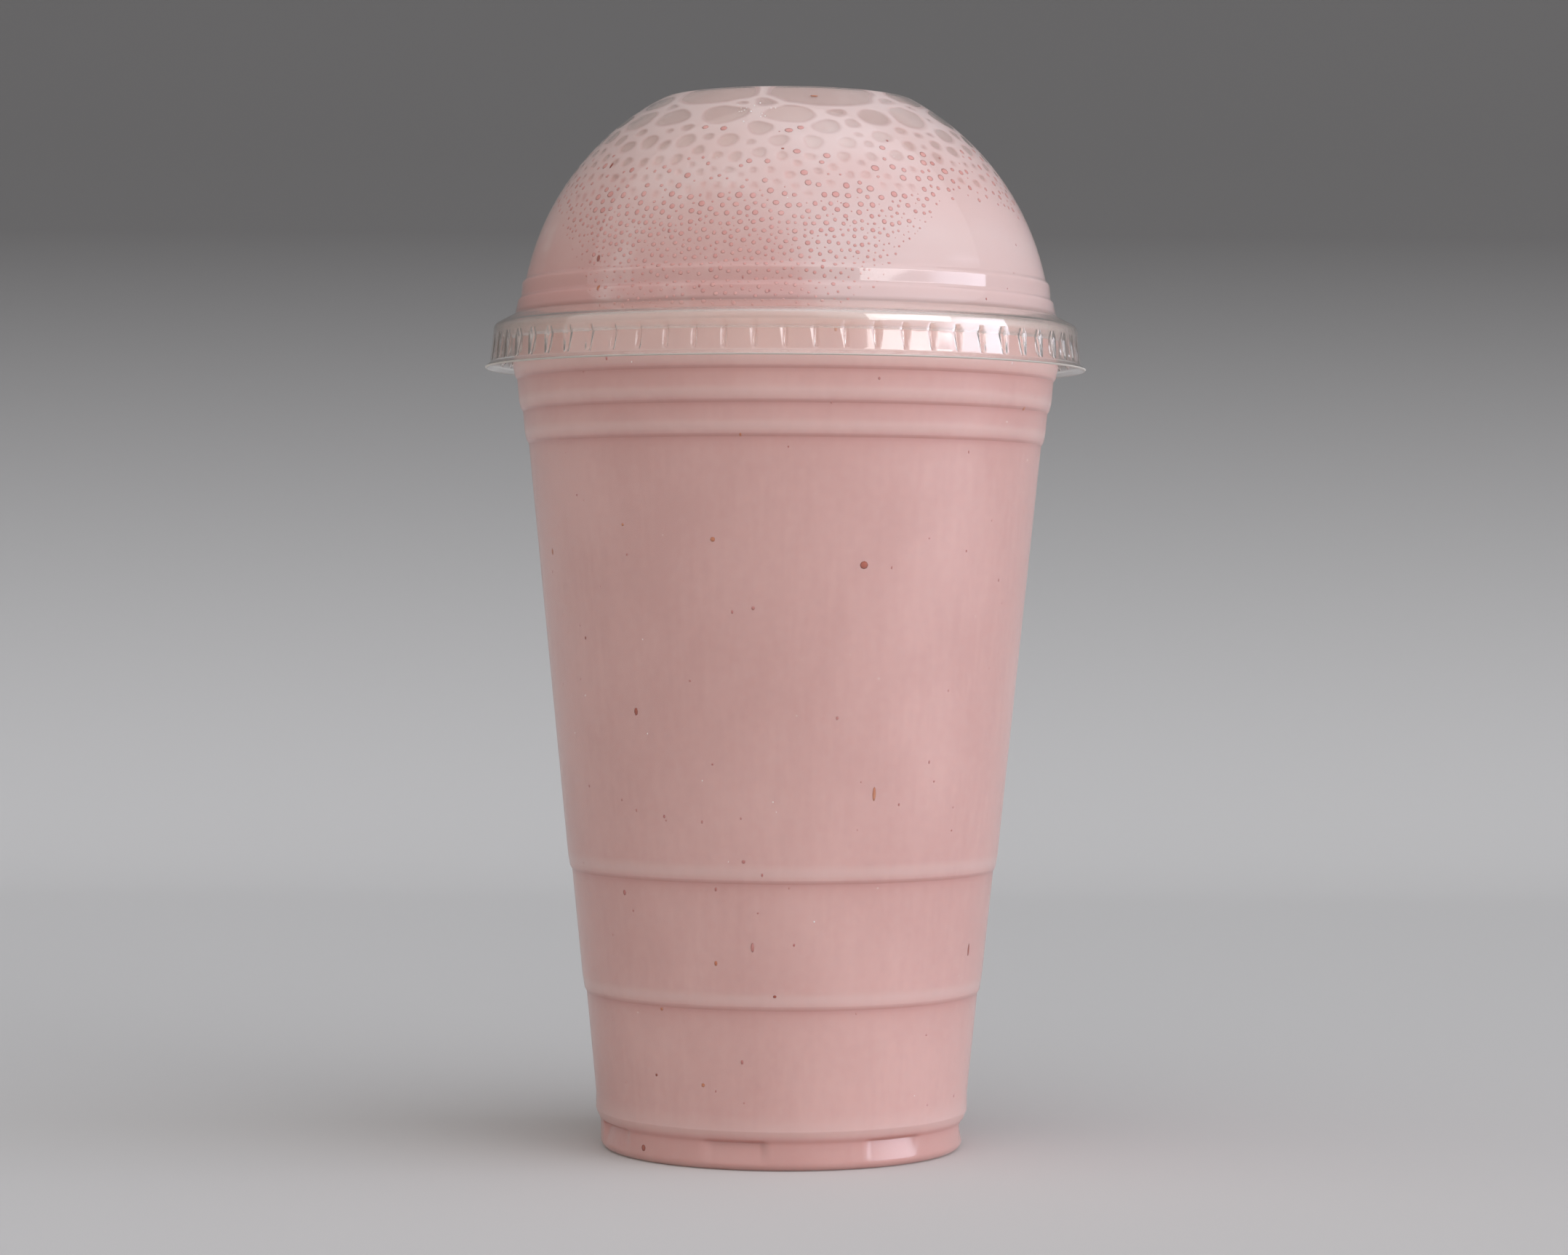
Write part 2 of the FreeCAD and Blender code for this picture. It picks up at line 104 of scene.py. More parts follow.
def new_material(name: str) -> tuple[bpy.types.Material, bpy.types.NodeTree, Socket]:
    """Makes an empty node material, and returns it with its tree and its Object coordinates."""
    material = bpy.data.materials.new(name)
    material.use_nodes = True
    tree = material.node_tree
    tree.nodes.clear()
    return material, tree, add_node(tree, "ShaderNodeTexCoord").outputs["Object"]


def noise(
    tree: bpy.types.NodeTree, at: Socket, size_mm: float, detail: float, roughness: float = 0.5
) -> Socket:
    """Adds soft noise with grains of about a size, in millimetres, at the given coordinates."""
    inputs = {"Vector": at, "Scale": 1 / (size_mm * MM), "Detail": detail, "Roughness": roughness}
    return add_node(tree, "ShaderNodeTexNoise", inputs).outputs["Fac"]


def stretched(tree: bpy.types.NodeTree, at: Socket, share: float) -> Socket:
    """Squeezes coordinates along the height, so that a pattern on them stands taller."""
    inputs = {"Vector": at, "Scale": (1.0, 1.0, share)}
    return add_node(tree, "ShaderNodeMapping", inputs).outputs["Vector"]


def ranged(
    tree: bpy.types.NodeTree,
    value: Socket,
    given: tuple[float, float],
    wanted: tuple[float, float] = (0.0, 1.0),
    kind: str = "LINEAR",
) -> Socket:
    """Maps a value from one range to another and holds it there.

    Args:
        tree: the shader tree.
        value: the value to map.
        given: the range that it comes in.
        wanted: the range that it is mapped to.
        kind: how it runs between the ends.

    Returns:
        The mapped value.
    """
    inputs = {
        "Value": value,
        "From Min": given[0],
        "From Max": given[1],
        "To Min": wanted[0],
        "To Max": wanted[1],
    }
    return add_node(tree, "ShaderNodeMapRange", inputs, interpolation_type=kind).outputs["Result"]


def reckoned(tree: bpy.types.NodeTree, operation: str, *terms: Socket | float) -> Socket:
    """Adds one step of arithmetic on outputs and plain numbers."""
    return add_node(tree, "ShaderNodeMath", dict(enumerate(terms)), operation=operation).outputs[0]


def marked(tree: bpy.types.NodeTree, name: str) -> Socket:
    """Reads one of the mesh's own attributes."""
    mark = add_node(tree, "ShaderNodeAttribute", attribute_type="GEOMETRY", attribute_name=name)
    return mark.outputs["Fac"]


def ramped(tree: bpy.types.NodeTree, value: Socket, stops: Stops) -> Socket:
    """Colours a value by a ramp with a position and a hex colour for each stop."""
    ramp = add_node(tree, "ShaderNodeValToRGB", {"Fac": value})
    elements = ramp.color_ramp.elements
    while len(elements) < len(stops):
        elements.new(1.0)
    for element, (position, colour) in zip(elements, stops):
        element.position = position
        element.color = linear(colour)
    return ramp.outputs["Color"]


def mixed(tree: bpy.types.NodeTree, share: Socket, base: Socket, over: Socket | str) -> Socket:
    """Mixes a colour towards another one, which is an output or a hex colour."""
    other = linear(over) if isinstance(over, str) else over
    inputs = {"Factor": share, 6: base, 7: other}
    return add_node(tree, "ShaderNodeMix", inputs, data_type="RGBA").outputs[2]


def mixed_shader(tree: bpy.types.NodeTree, share: Socket, base: Socket, over: Socket) -> Socket:
    """Mixes one shader towards another."""
    return add_node(tree, "ShaderNodeMixShader", {0: share, 1: base, 2: over}).outputs["Shader"]


def principled(tree: bpy.types.NodeTree, inputs: dict[str, Any]) -> Socket:
    """Adds a Principled shader and returns its output."""
    return add_node(tree, "ShaderNodeBsdfPrincipled", inputs).outputs["BSDF"]


def show(tree: bpy.types.NodeTree, shader: Socket) -> None:
    """Ends a material's tree with its shader."""
    add_node(tree, "ShaderNodeOutputMaterial", {"Surface": shader})


# ---------------------------------------------------------------- outlines and turned meshes


@dataclass(frozen=True)
class Corner:
    """A corner of a turned outline: distance from the axis, height, and the size that rounds it."""

    r: float
    z: float
    rounding: float = 0.0


def rounded(corners: Sequence[Corner], arc_step: float = 12.0) -> np.ndarray:
    """Turns corners into points, with a tangent arc at each rounded corner.

    Args:
        corners: the outline's corners in order.
        arc_step: largest angle between two points of an arc, in degrees.

    Returns:
        Points as rows of distance from the axis and height.
    """
    raw = np.array([(c.r, c.z) for c in corners])
    points: list[np.ndarray] = []
    for i, corner in enumerate(corners):
        here = raw[i]
        if corner.rounding <= 0 or i in (0, len(corners) - 1):
            points.append(here)
            continue
        back, ahead = raw[i - 1] - here, raw[i + 1] - here
        room = NEARLY_HALF * min(np.linalg.norm(back), np.linalg.norm(ahead))
        back, ahead = back / np.linalg.norm(back), ahead / np.linalg.norm(ahead)
        half = math.acos(float(np.clip(back @ ahead, -1, 1))) / 2
        reach = min(corner.rounding / math.tan(half), room)
        radius = reach * math.tan(half)
        bisector = (back + ahead) / np.linalg.norm(back + ahead)
        centre = here + bisector * radius / math.sin(half)
        first, last = here + back * reach - centre, here + ahead * reach - centre
        start = math.atan2(first[1], first[0])
        turn = (math.atan2(last[1], last[0]) - start + math.pi) % math.tau - math.pi
        steps = max(2, math.ceil(abs(math.degrees(turn)) / arc_step))
        for k in range(steps + 1):
            angle = start + turn * k / steps
            points.append(centre + radius * np.array((math.cos(angle), math.sin(angle))))
    return np.array(points)


def resampled(points: np.ndarray, spacing: float) -> np.ndarray:
    """Adds points on every stretch of an outline that is longer than the spacing."""
    out = [points[:1]]
    for a, b in zip(points[:-1], points[1:]):
        steps = max(1, math.ceil(float(np.linalg.norm(b - a)) / spacing))
        out.append(a + (b - a) * (np.arange(1, steps + 1) / steps)[:, None])
    return np.concatenate(out)


def inset(points: np.ndarray, distance: float) -> np.ndarray:
    """Moves an outline to its left by a distance, which is inwards for one that runs upwards.

    Args:
        points: rows of distance from the axis and height.
        distance: how far to move it.

    Returns:
        The moved outline, with as many points; points on the axis stay on it.
    """
    step = np.diff(points, axis=0)
    step /= np.linalg.norm(step, axis=1)[:, None]
    left = np.stack((-step[:, 1], step[:, 0]), axis=1)
    before, after = np.vstack((left[:1], left)), np.vstack((left, left[-1:]))
    middle = before + after
    middle /= np.linalg.norm(middle, axis=1)[:, None]
    stretch = np.clip(np.sum(middle * before, axis=1), 0.5, 1.0)
    moved = points + middle * (distance / stretch)[:, None]
    moved[points[:, 0] < ON_AXIS, 0] = 0.0
    moved[:, 0] = np.maximum(moved[:, 0], 0.0)
    return moved


class Slot(Enum):
    """The record's material slots."""

    CUP = "clear_cup"
    LID = "clear_lid"
    DRINK = "milkshake"
    FROTH = "froth"


Dent = Callable[[np.ndarray, np.ndarray, np.ndarray], np.ndarray]


def mesh_from(name: str, points: np.ndarray, faces: list[tuple[int, ...]]) -> bpy.types.Mesh:
    """Makes a smooth-shaded mesh from points in millimetres and faces."""
    mesh = bpy.data.meshes.new(name)
    mesh.from_pydata((points * MM).tolist(), [], faces)
    mesh.polygons.foreach_set("use_smooth", [True] * len(mesh.polygons))
    mesh.update()
    return mesh


def turned_mesh(
    name: str, section: np.ndarray, segments: int, dent: Dent | None = None
) -> bpy.types.Mesh:
    """Turns a closed section about the axis; a point on the axis becomes one pole.

    Args:
        name: the mesh's name.
        section: points round the section; the last joins the first unless both are on the axis.
        segments: steps round the axis.
        dent: how far a point moves towards the axis, from its distance, height and angle.

    Returns:
        A closed mesh whose faces point outwards.
    """
    after = np.roll(section, -1, axis=0)
    area = float(np.sum(section[:, 0] * after[:, 1] - after[:, 0] * section[:, 1]))
    if area > 0:
        section = section[::-1]
    angles = np.arange(segments) / segments * 360.0
    r, angle = np.meshgrid(section[:, 0], angles, indexing="ij")
    z = np.repeat(section[:, 1:2], segments, axis=1)
    if dent is not None:
        r = r - dent(r, z, angle)
    turn = np.radians(angle)
    grid = np.stack((r * np.cos(turn), r * np.sin(turn), z), axis=2)
    pole = section[:, 0] < ON_AXIS
    numbers = np.zeros(r.shape, dtype=int)
    points: list[np.ndarray] = []
    used = 0
    for i in range(len(section)):
        if pole[i]:
            numbers[i] = used
            points.append(grid[i, :1])
            used += 1
        else:
            numbers[i] = used + np.arange(segments)
            points.append(grid[i])
            used += segments
    faces: list[tuple[int, ...]] = []
    rows = len(section)
    for i in range(rows):
        k = (i + 1) % rows
        if pole[i] and pole[k]:
            continue
        a, b = numbers[i], numbers[k]
        c, d = np.roll(b, -1), np.roll(a, -1)
        if pole[i]:
            faces += list(zip(a.tolist(), b.tolist(), c.tolist()))
        elif pole[k]:
            faces += list(zip(a.tolist(), b.tolist(), d.tolist()))
        else:
            faces += list(zip(a.tolist(), b.tolist(), c.tolist(), d.tolist()))
    return mesh_from(name, np.concatenate(points), faces)


def place(
    name: str,
    mesh: bpy.types.Mesh,
    material: bpy.types.Material,
    replaces: str | None = None,
) -> bpy.types.Object:
    """Puts a finished piece into the scene, on the part's body.

    Args:
        name: the piece's name.
        mesh: its mesh, in metres where it belongs.
        material: its finish.
        replaces: the CAD node that it stands for, if any.

    Returns:
        The piece.
    """
    piece = bpy.data.objects.new(name, mesh)
    mesh.materials.clear()
    mesh.materials.append(material)
    bpy.context.scene.collection.objects.link(piece)
    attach(piece, BODY)
    if replaces:
        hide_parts(replaces)
    LOG.info("%s: %d faces", name, len(mesh.polygons))
    return piece


def applied(piece: bpy.types.Object, name: str) -> bpy.types.Mesh:
    """Bakes a piece's modifiers into a new mesh, and removes the piece."""
    graph = bpy.context.evaluated_depsgraph_get()
    mesh = bpy.data.meshes.new_from_object(piece.evaluated_get(graph))
    mesh.name = name
    piece.modifiers.clear()
    bpy.data.objects.remove(piece)
    return mesh


def set_input(modifier: bpy.types.Modifier, name: str, value: Any) -> None:
    """Sets a Geometry Nodes input, found by its name, through its identifier."""
    for item in modifier.node_group.interface.items_tree:
        if item.item_type == "SOCKET" and item.in_out == "INPUT" and item.name == name:
            modifier[item.identifier] = value
            return
    raise KeyError(name)


def new_geometry_tree(name: str, inputs: Sequence[tuple[str, str]]) -> bpy.types.NodeTree:
    """Makes a Geometry Nodes tree with a geometry input and output and further named inputs."""
    tree = bpy.data.node_groups.new(name, "GeometryNodeTree")
    tree.interface.new_socket("Geometry", in_out="INPUT", socket_type="NodeSocketGeometry")
    tree.interface.new_socket("Geometry", in_out="OUTPUT", socket_type="NodeSocketGeometry")
    for label, kind in inputs:
        tree.interface.new_socket(label, in_out="INPUT", socket_type=kind)
    return tree


def end_geometry_tree(tree: bpy.types.NodeTree, geometry: Socket, finish: Socket) -> None:
    """Gives a geometry tree's result its material and sends it out."""
    inputs = {"Geometry": geometry, "Material": finish}
    dressed = add_node(tree, "GeometryNodeSetMaterial", inputs)
    add_node(tree, "NodeGroupOutput", {0: dressed.outputs["Geometry"]})


def realized(tree: bpy.types.NodeTree, copies: bpy.types.Node) -> Socket:
    """Turns a node's instances into real geometry."""
    inputs = {"Geometry": copies.outputs["Instances"]}
    return add_node(tree, "GeometryNodeRealizeInstances", inputs).outputs["Geometry"]


def run_tree(
    tree: bpy.types.NodeTree, mesh: bpy.types.Mesh, name: str, inputs: dict[str, Any]
) -> bpy.types.Mesh:
    """Runs a geometry tree on a mesh and returns the result as a plain mesh."""
    carrier = bpy.data.objects.new(f"{name}_source", mesh)
    bpy.context.scene.collection.objects.link(carrier)
    modifier = carrier.modifiers.new(tree.name, "NODES")
    modifier.node_group = tree
    for label, value in inputs.items():
        set_input(modifier, label, value)
    return applied(carrier, name)


# ---------------------------------------------------------------- finishes


@dataclass(frozen=True)
class ClearSheet:
    """Thermoformed PET sheet: clear, hard gloss, with a faint waviness from drawing the hot sheet."""

    name: str
    tint: str = "#FFFDFB"
    roughness: float = 0.04
    ior: float = 1.57
    wave_mm: float = 9.0
    wave_depth: float = 0.05
    haze: float = 0.05
    haze_colour: str = "#F1E8DE"
    edge_haze: float = 0.55
    edge_mark: tuple[float, float] = (0.3, 0.9)

    def material(self) -> bpy.types.Material:
        """Glass for the eye that lets lamps and diffuse light through, so what it holds is lit."""
        material, tree, place_at = new_material(self.name)
        # the sheet thins unevenly as it is drawn, which bends reflections over about a centimetre
        wave = noise(tree, place_at, self.wave_mm, 1.0, 0.4)
        bump = add_node(
            tree, "ShaderNodeBump", {"Strength": self.wave_depth, "Distance": MM, "Height": wave}
        )
        look = {
            "Base Color": linear(self.tint),
            "Roughness": self.roughness,
            "IOR": self.ior,
            "Transmission Weight": 1.0,
            "Normal": bump.outputs["Normal"],
        }
        # a breath of moisture and milk on the sheet greys what is behind it a little, and the
        # trimmed edge, which the attribute marks, scatters light as a cut through PET does
        mist = add_node(tree, "ShaderNodeBsdfDiffuse", {"Color": linear(self.haze_colour)})
        cover = ranged(tree, marked(tree, "cut_edge"), self.edge_mark, (self.haze, self.edge_haze))
        hazy = mixed_shader(tree, cover, principled(tree, look), mist.outputs["BSDF"])
        through = add_node(tree, "ShaderNodeBsdfTransparent", {"Color": linear(self.tint)})
        ray = add_node(tree, "ShaderNodeLightPath").outputs
        passes = reckoned(tree, "MAXIMUM", ray["Is Shadow Ray"], ray["Is Diffuse Ray"])
        show(tree, mixed_shader(tree, passes, hazy, through.outputs["BSDF"]))
        return material


@dataclass(frozen=True)
class BlendedFruit:
    """Blended fruit and milk: an opaque pink drink with fine pulp, light sinking in a little."""

    name: str = "Strawberry_milk_blend"
    low: str = "#CFA09A"
    high: str = "#D9ACA6"
    spread: tuple[float, float] = (0.62, 0.98)
    # the colours of the painted shade under the rings and of the painted highlight on their bellies
    settled: str = "#BD7F78"
    painted_highlight: str = "#E4CBC7"
    roughness: float = 0.55
    pulp_mm: float = 1.6
    run_mm: float = 1.3
    run_share: float = 0.09
    cloud_mm: float = 24.0
    cloud_share: float = 0.8
    fine_weight: float = 0.3

    def material(self) -> bpy.types.Material:
        """Clouds some centimetres across, finer pulp and upright runs vary the pink slightly, and an
        attribute paints shade under the rings and a highlight on their bellies.
        """
        material, tree, place_at = new_material(self.name)
        # the clouds stand a little taller than wide
        cloud = noise(tree, stretched(tree, place_at, self.cloud_share), self.cloud_mm, 2.0)
        pulp = noise(tree, place_at, self.pulp_mm, 2.0, 0.6)
        # fine upright runs where the drink has slid down the wall
        runs = noise(tree, stretched(tree, place_at, self.run_share), self.run_mm, 3.0, 0.6)
        both = reckoned(tree, "MULTIPLY_ADD", pulp, self.fine_weight, cloud)
        all_three = reckoned(tree, "MULTIPLY_ADD", runs, self.fine_weight, both)
        pink = ramped(tree, all_three, tuple(zip(self.spread, (self.low, self.high))))
        # painted shade: an attribute darkens the pink near the foot and in the hollows under the rings,
        # and below zero it paints a paler highlight on the rings' bellies
        settled = marked(tree, "settled")
        shaded_pink = mixed(tree, settled, pink, self.settled)
        belly = reckoned(tree, "MULTIPLY", settled, -1.0)
        look = {
            "Base Color": mixed(tree, belly, shaded_pink, self.painted_highlight),
            "Roughness": self.roughness,
            "IOR": 1.35,
            "Subsurface Weight": 0.35,
            "Subsurface Radius": (1.0, 0.6, 0.5),
            "Subsurface Scale": 0.002,
            "Specular IOR Level": 0.2,
        }
        show(tree, principled(tree, look))
        return material


@dataclass(frozen=True)
class MilkFroth:
    """Milk froth under a clear lid: pale walls round darker bubbles, which show the pinker drink behind
    and carry painted shade of their hollows.
    """

    name: str = "Strawberry_milk_froth"
    height: tuple[float, float] = (138.0, 178.0)
    wander_mm: float = 11.0
    wander: float = 0.09
    walls: Stops = (
        (0.0, "#CF9A94"),
        (0.14, "#D09E98"),
        (0.35, "#D4ABA5"),
        (0.6, "#D9B9B4"),
        (0.85, "#DEC6C2"),
        (1.0, "#E0CBC7"),
    )
    cells_with_shade: Stops = ((0.55, "#D2A39C"), (0.7, "#CDABA5"), (0.85, "#C9ABA6"), (1.0, "#C9AEAA"))
    film: str = "#E0CCC9"
    film_mm: float = 15.0
    film_patch: tuple[float, float] = (0.5, 0.72)
    film_cover: float = 0.45
    # where, towards the right, the froth is painted paler: film and painted sheen of the light from
    # that side
    side: tuple[float, float] = (-3.0, 12.0)
    side_wander_mm: float = 120.0
    side_sheen_level: tuple[float, float] = (0.62, 0.36)
    side_sheen_cover: float = 0.62

    def material(self) -> bpy.types.Material:
        """The bubble attribute picks the colour inside a bubble, and the height shifts both."""
        material, tree, place_at = new_material(self.name)
        parts = add_node(tree, "ShaderNodeSeparateXYZ", {"Vector": place_at}).outputs
        foot, top = self.height
        level = ranged(tree, parts["Z"], (foot * MM, top * MM))
        cloud = noise(tree, place_at, self.wander_mm, 2.0)
        wander = ranged(tree, cloud, (0.0, 1.0), (-self.wander, self.wander))
        rise = reckoned(tree, "ADD", level, wander)
        # inside a large bubble the colour is darker and greyer: partly the pinker drink seen through,
        # partly painted shade of the bubble's hollow
        wall, cell = (ramped(tree, rise, stops) for stops in (self.walls, self.cells_with_shade))
        foam = mixed(tree, marked(tree, "bubble"), wall, cell)
        # a thin film of plain milk foam clings to the lid in soft patches
        patches = noise(tree, place_at, self.film_mm, 4.0, 0.6)
        film = ranged(tree, patches, self.film_patch, (0.0, self.film_cover), "SMOOTHSTEP")
        # low down on the right the froth is paler: partly a thicker, unbroken film, partly painted
        # sheen from the light on that side
        across = reckoned(tree, "MULTIPLY_ADD", wander, self.side_wander_mm * MM, parts["X"])
        start, full = self.side
        side = ranged(
            tree, across, (start * MM, full * MM), (0.0, self.side_sheen_cover), "SMOOTHSTEP"
        )
        film_and_sheen = reckoned(tree, "MULTIPLY", side, ranged(tree, rise, self.side_sheen_level))
        cover = reckoned(tree, "MAXIMUM", film, film_and_sheen)
        filmed = mixed(tree, cover, foam, self.film)
        toned = add_node(
            tree, "ShaderNodeHueSaturation", {"Value": marked(tree, "tone"), "Color": filmed}
        )
        look = {
            "Base Color": toned.outputs["Color"],
            "Roughness": 0.5,
            "IOR": 1.35,
            "Subsurface Weight": 0.4,
            "Subsurface Radius": (1.0, 0.8, 0.75),
            "Subsurface Scale": 0.002,
            "Specular IOR Level": 0.2,
        }
        show(tree, principled(tree, look))
        return material


@dataclass(frozen=True)
class WetSpeck:
    """Something small and moist of one colour: a bubble's middle, darker partly by painted shade; a
    bead of air painted pale as a glint; a seed or a bit of fruit.
    """

    name: str
    colour: str
    other: str
    roughness: float
    spot_mm: float = 2.5

    def material(self) -> bpy.types.Material:
        """Two close colours in patches of a few millimetres."""
        material, tree, place_at = new_material(self.name)
        spots = noise(tree, place_at, self.spot_mm, 1.0)
        colour = ramped(tree, spots, ((0.35, self.colour), (0.65, self.other)))
        look = {"Base Color": colour, "Roughness": self.roughness, "IOR": 1.36}
        show(tree, principled(tree, look))
        return material


@dataclass(frozen=True)
class StudioPaper:
    """Matt seamless paper, pale on the table and greyer up the wall behind."""

    name: str
    low: str
    high: str
    fade: tuple[float, float] = (0.0, 0.22)

    def material(self) -> bpy.types.Material:
        """Plain and matt; the colour only follows the height."""
        material, tree, place_at = new_material(self.name)
        parts = add_node(tree, "ShaderNodeSeparateXYZ", {"Vector": place_at}).outputs
        colour = ramped(
            tree, ranged(tree, parts["Z"], self.fade), ((0.0, self.low), (1.0, self.high))
        )
        look = {"Base Color": colour, "Roughness": 0.85, "Specular IOR Level": 0.15}
        show(tree, principled(tree, look))
        return material


# ---------------------------------------------------------------- the cup


@dataclass
class ClearCup:
    """The thermoformed cup: recessed foot with lugs, stacking rings and a rolled rim."""

    height: float = 139.65
    rim_radius: float = 49.2
    curl_radius: float = 1.6
    wall: float = 0.4
    foot_radius: float = 30.77
    foot_height: float = 4.6
    foot_round: float = 1.5
    recess_height: float = 2.4
    recess_radius: float = 27.57
    recess_draft: float = 0.5
    ring_round: float = 0.6
    hollow_lift: float = 0.2
    hollow_round: float = 0.25
    belly_start: tuple[float, float] = (0.5, 0.28)
    belly_top: float = 1.25
    belly_round: float = 4.0
    low_ring: tuple[float, float, float] = (26.3, 2.5, 0.75)
    mid_ring: tuple[float, float, float] = (47.1, 2.1, 0.7)
    base_ring: tuple[float, float, float] = (4.6, 2.0, 0.85)
    base_top: float = 9.5
    collar_height: float = 119.2
    collar_radius: float = 43.55
    collar_pitch: float = 5.4
    collar_ring: tuple[float, float] = (1.7, 0.7)
    collar_draft: float = 0.3
    collar_rings: int = 3
    lugs: int = 7
    lug_angle: float = 19.0
    lug_turn: float = -1.6
    lug_depth: float = 0.8
    lug_start: float = 1.0
    lug_side: float = 1.2
    lug_fade: tuple[float, float] = (0.55, 0.5)
    lug_band: float = 2.5
    foot_rows: float = 0.3
    under_rows: float = 3.0
    wall_rows: float = 4.0
    curl_points: int = 28
    segments: int = 256
    finish: ClearSheet = field(
        default_factory=lambda: ClearSheet("Clear_PET_cup", roughness=0.26)
    )

    @property
    def curl_centre(self) -> tuple[float, float]:
        """Centre of the rolled rim, in section."""
        return self.rim_radius - self.curl_radius, self.height - self.curl_radius

    def taper(self) -> float:
        """How much the tapered wall widens for each millimetre of height between its rings."""
        base = self.foot_radius + self.base_ring[2]
        run = self.collar_height - self.base_top - self.low_ring[1] - self.mid_ring[1]
        return (self.collar_radius - base - self.low_ring[2] - self.mid_ring[2]) / run

    def wall_corners(self) -> list[Corner]:
        """The outside from the middle of the underside up to the neck."""
        round_by = self.ring_round
        radius, level = self.foot_radius + self.base_ring[2], self.base_top
        corners = [
            Corner(0, self.recess_height),
            Corner(self.recess_radius - self.recess_draft, self.recess_height, 0.5),
            Corner(self.recess_radius, 0, 0.5),
            Corner(self.foot_radius, 0, self.foot_round),
            Corner(self.foot_radius, self.foot_height, round_by),
            Corner(radius, self.foot_height + self.base_ring[1], round_by),
            Corner(radius, level),
        ]
        for start, rise, out in (self.low_ring, self.mid_ring):
            radius += self.taper() * (start - level)
            corners += self.step(radius, start, rise, out)
            radius, level = radius + out, start + rise
        radius = self.collar_radius
        rise, out = self.collar_ring
        for ring in range(self.collar_rings):
            low = self.collar_height + ring * self.collar_pitch
            corners += self.step(radius, low, rise, out)
            radius += out + self.collar_draft
        neck = self.curl_centre[0] - self.curl_radius + self.wall
        corners.append(Corner(neck, self.curl_centre[1]))
        return corners

    def outline(self, spacing: float) -> np.ndarray:
        """The outside up to the neck, with close rows where the lugs are pressed in.

        Args:
            spacing: largest distance between two rows above the foot.

        Returns:
            Points as rows of distance from the axis and height.
        """
        outside = rounded(self.wall_corners())
        foot = outside[:, 1] < self.foot_height + 3
        under = foot & (outside[:, 0] < self.foot_radius - self.lug_band)
        parts = ((under, self.under_rows), (foot & ~under, self.foot_rows), (~foot, spacing))
        return np.concatenate([resampled(outside[part], gap) for part, gap in parts])

    def step(self, radius: float, start: float, rise: float, out: float) -> list[Corner]:
        """Corners of one ring's step: a tight hollow below, then a full belly above it."""
        foot = start + self.hollow_lift
        across, up = self.belly_start
        return [
            Corner(radius, foot, self.hollow_round),
            Corner(radius + across * out, foot + up * rise, self.ring_round),
            Corner(radius + out, start + self.belly_top * rise, self.belly_round),
        ]

    def hollows(self) -> list[float]:
        """Heights of the tight hollows under the rings and under the base ring."""
        low = [self.collar_height + n * self.collar_pitch for n in range(self.collar_rings)]
        return [self.foot_height, self.low_ring[0], self.mid_ring[0], *low]

    def curl(self) -> np.ndarray:
        """The rolled rim's inner bend, from the neck over the top and down."""
        radius = self.curl_radius - self.wall
        turn = np.radians(np.linspace(180, -90, self.curl_points))[1:]
        x, z = self.curl_centre
        return np.stack((x + radius * np.cos(turn), z + radius * np.sin(turn)), axis=1)

    def dent(self, r: np.ndarray, z: np.ndarray, angle: np.ndarray) -> np.ndarray:
        """How far the lugs press the foot in.

        Args:
            r: distances from the axis.
            z: heights.
            angle: angles from the +X axis, in degrees.

        Returns:
            How far each point moves towards the axis.
        """
        pitch = 360 / self.lugs
        off = np.abs((angle - self.lug_turn + pitch / 2) % pitch - pitch / 2)
        across = np.clip((self.lug_angle / 2 - off) / self.lug_side + 0.5, 0, 1)
        up = np.clip((z - self.lug_start) / (self.foot_height - self.lug_start), 0, 1)
        end, run = self.lug_fade
        fade = np.clip((self.foot_height + end - z) / run, 0, 1)
        outer = r > self.foot_radius - self.lug_band
        return self.lug_depth * across * up * fade * outer

    def build(self) -> bpy.types.Object:
        """Builds the cup's sheet as one closed turned section."""
        path = np.concatenate((self.outline(self.wall_rows), self.curl()))
        section = np.concatenate((path, inset(path, self.wall)[::-1]))
        mesh = turned_mesh("cup_sheet", section, self.segments, self.dent)
        return place("cup_sheet", mesh, self.finish.material(), "cup")


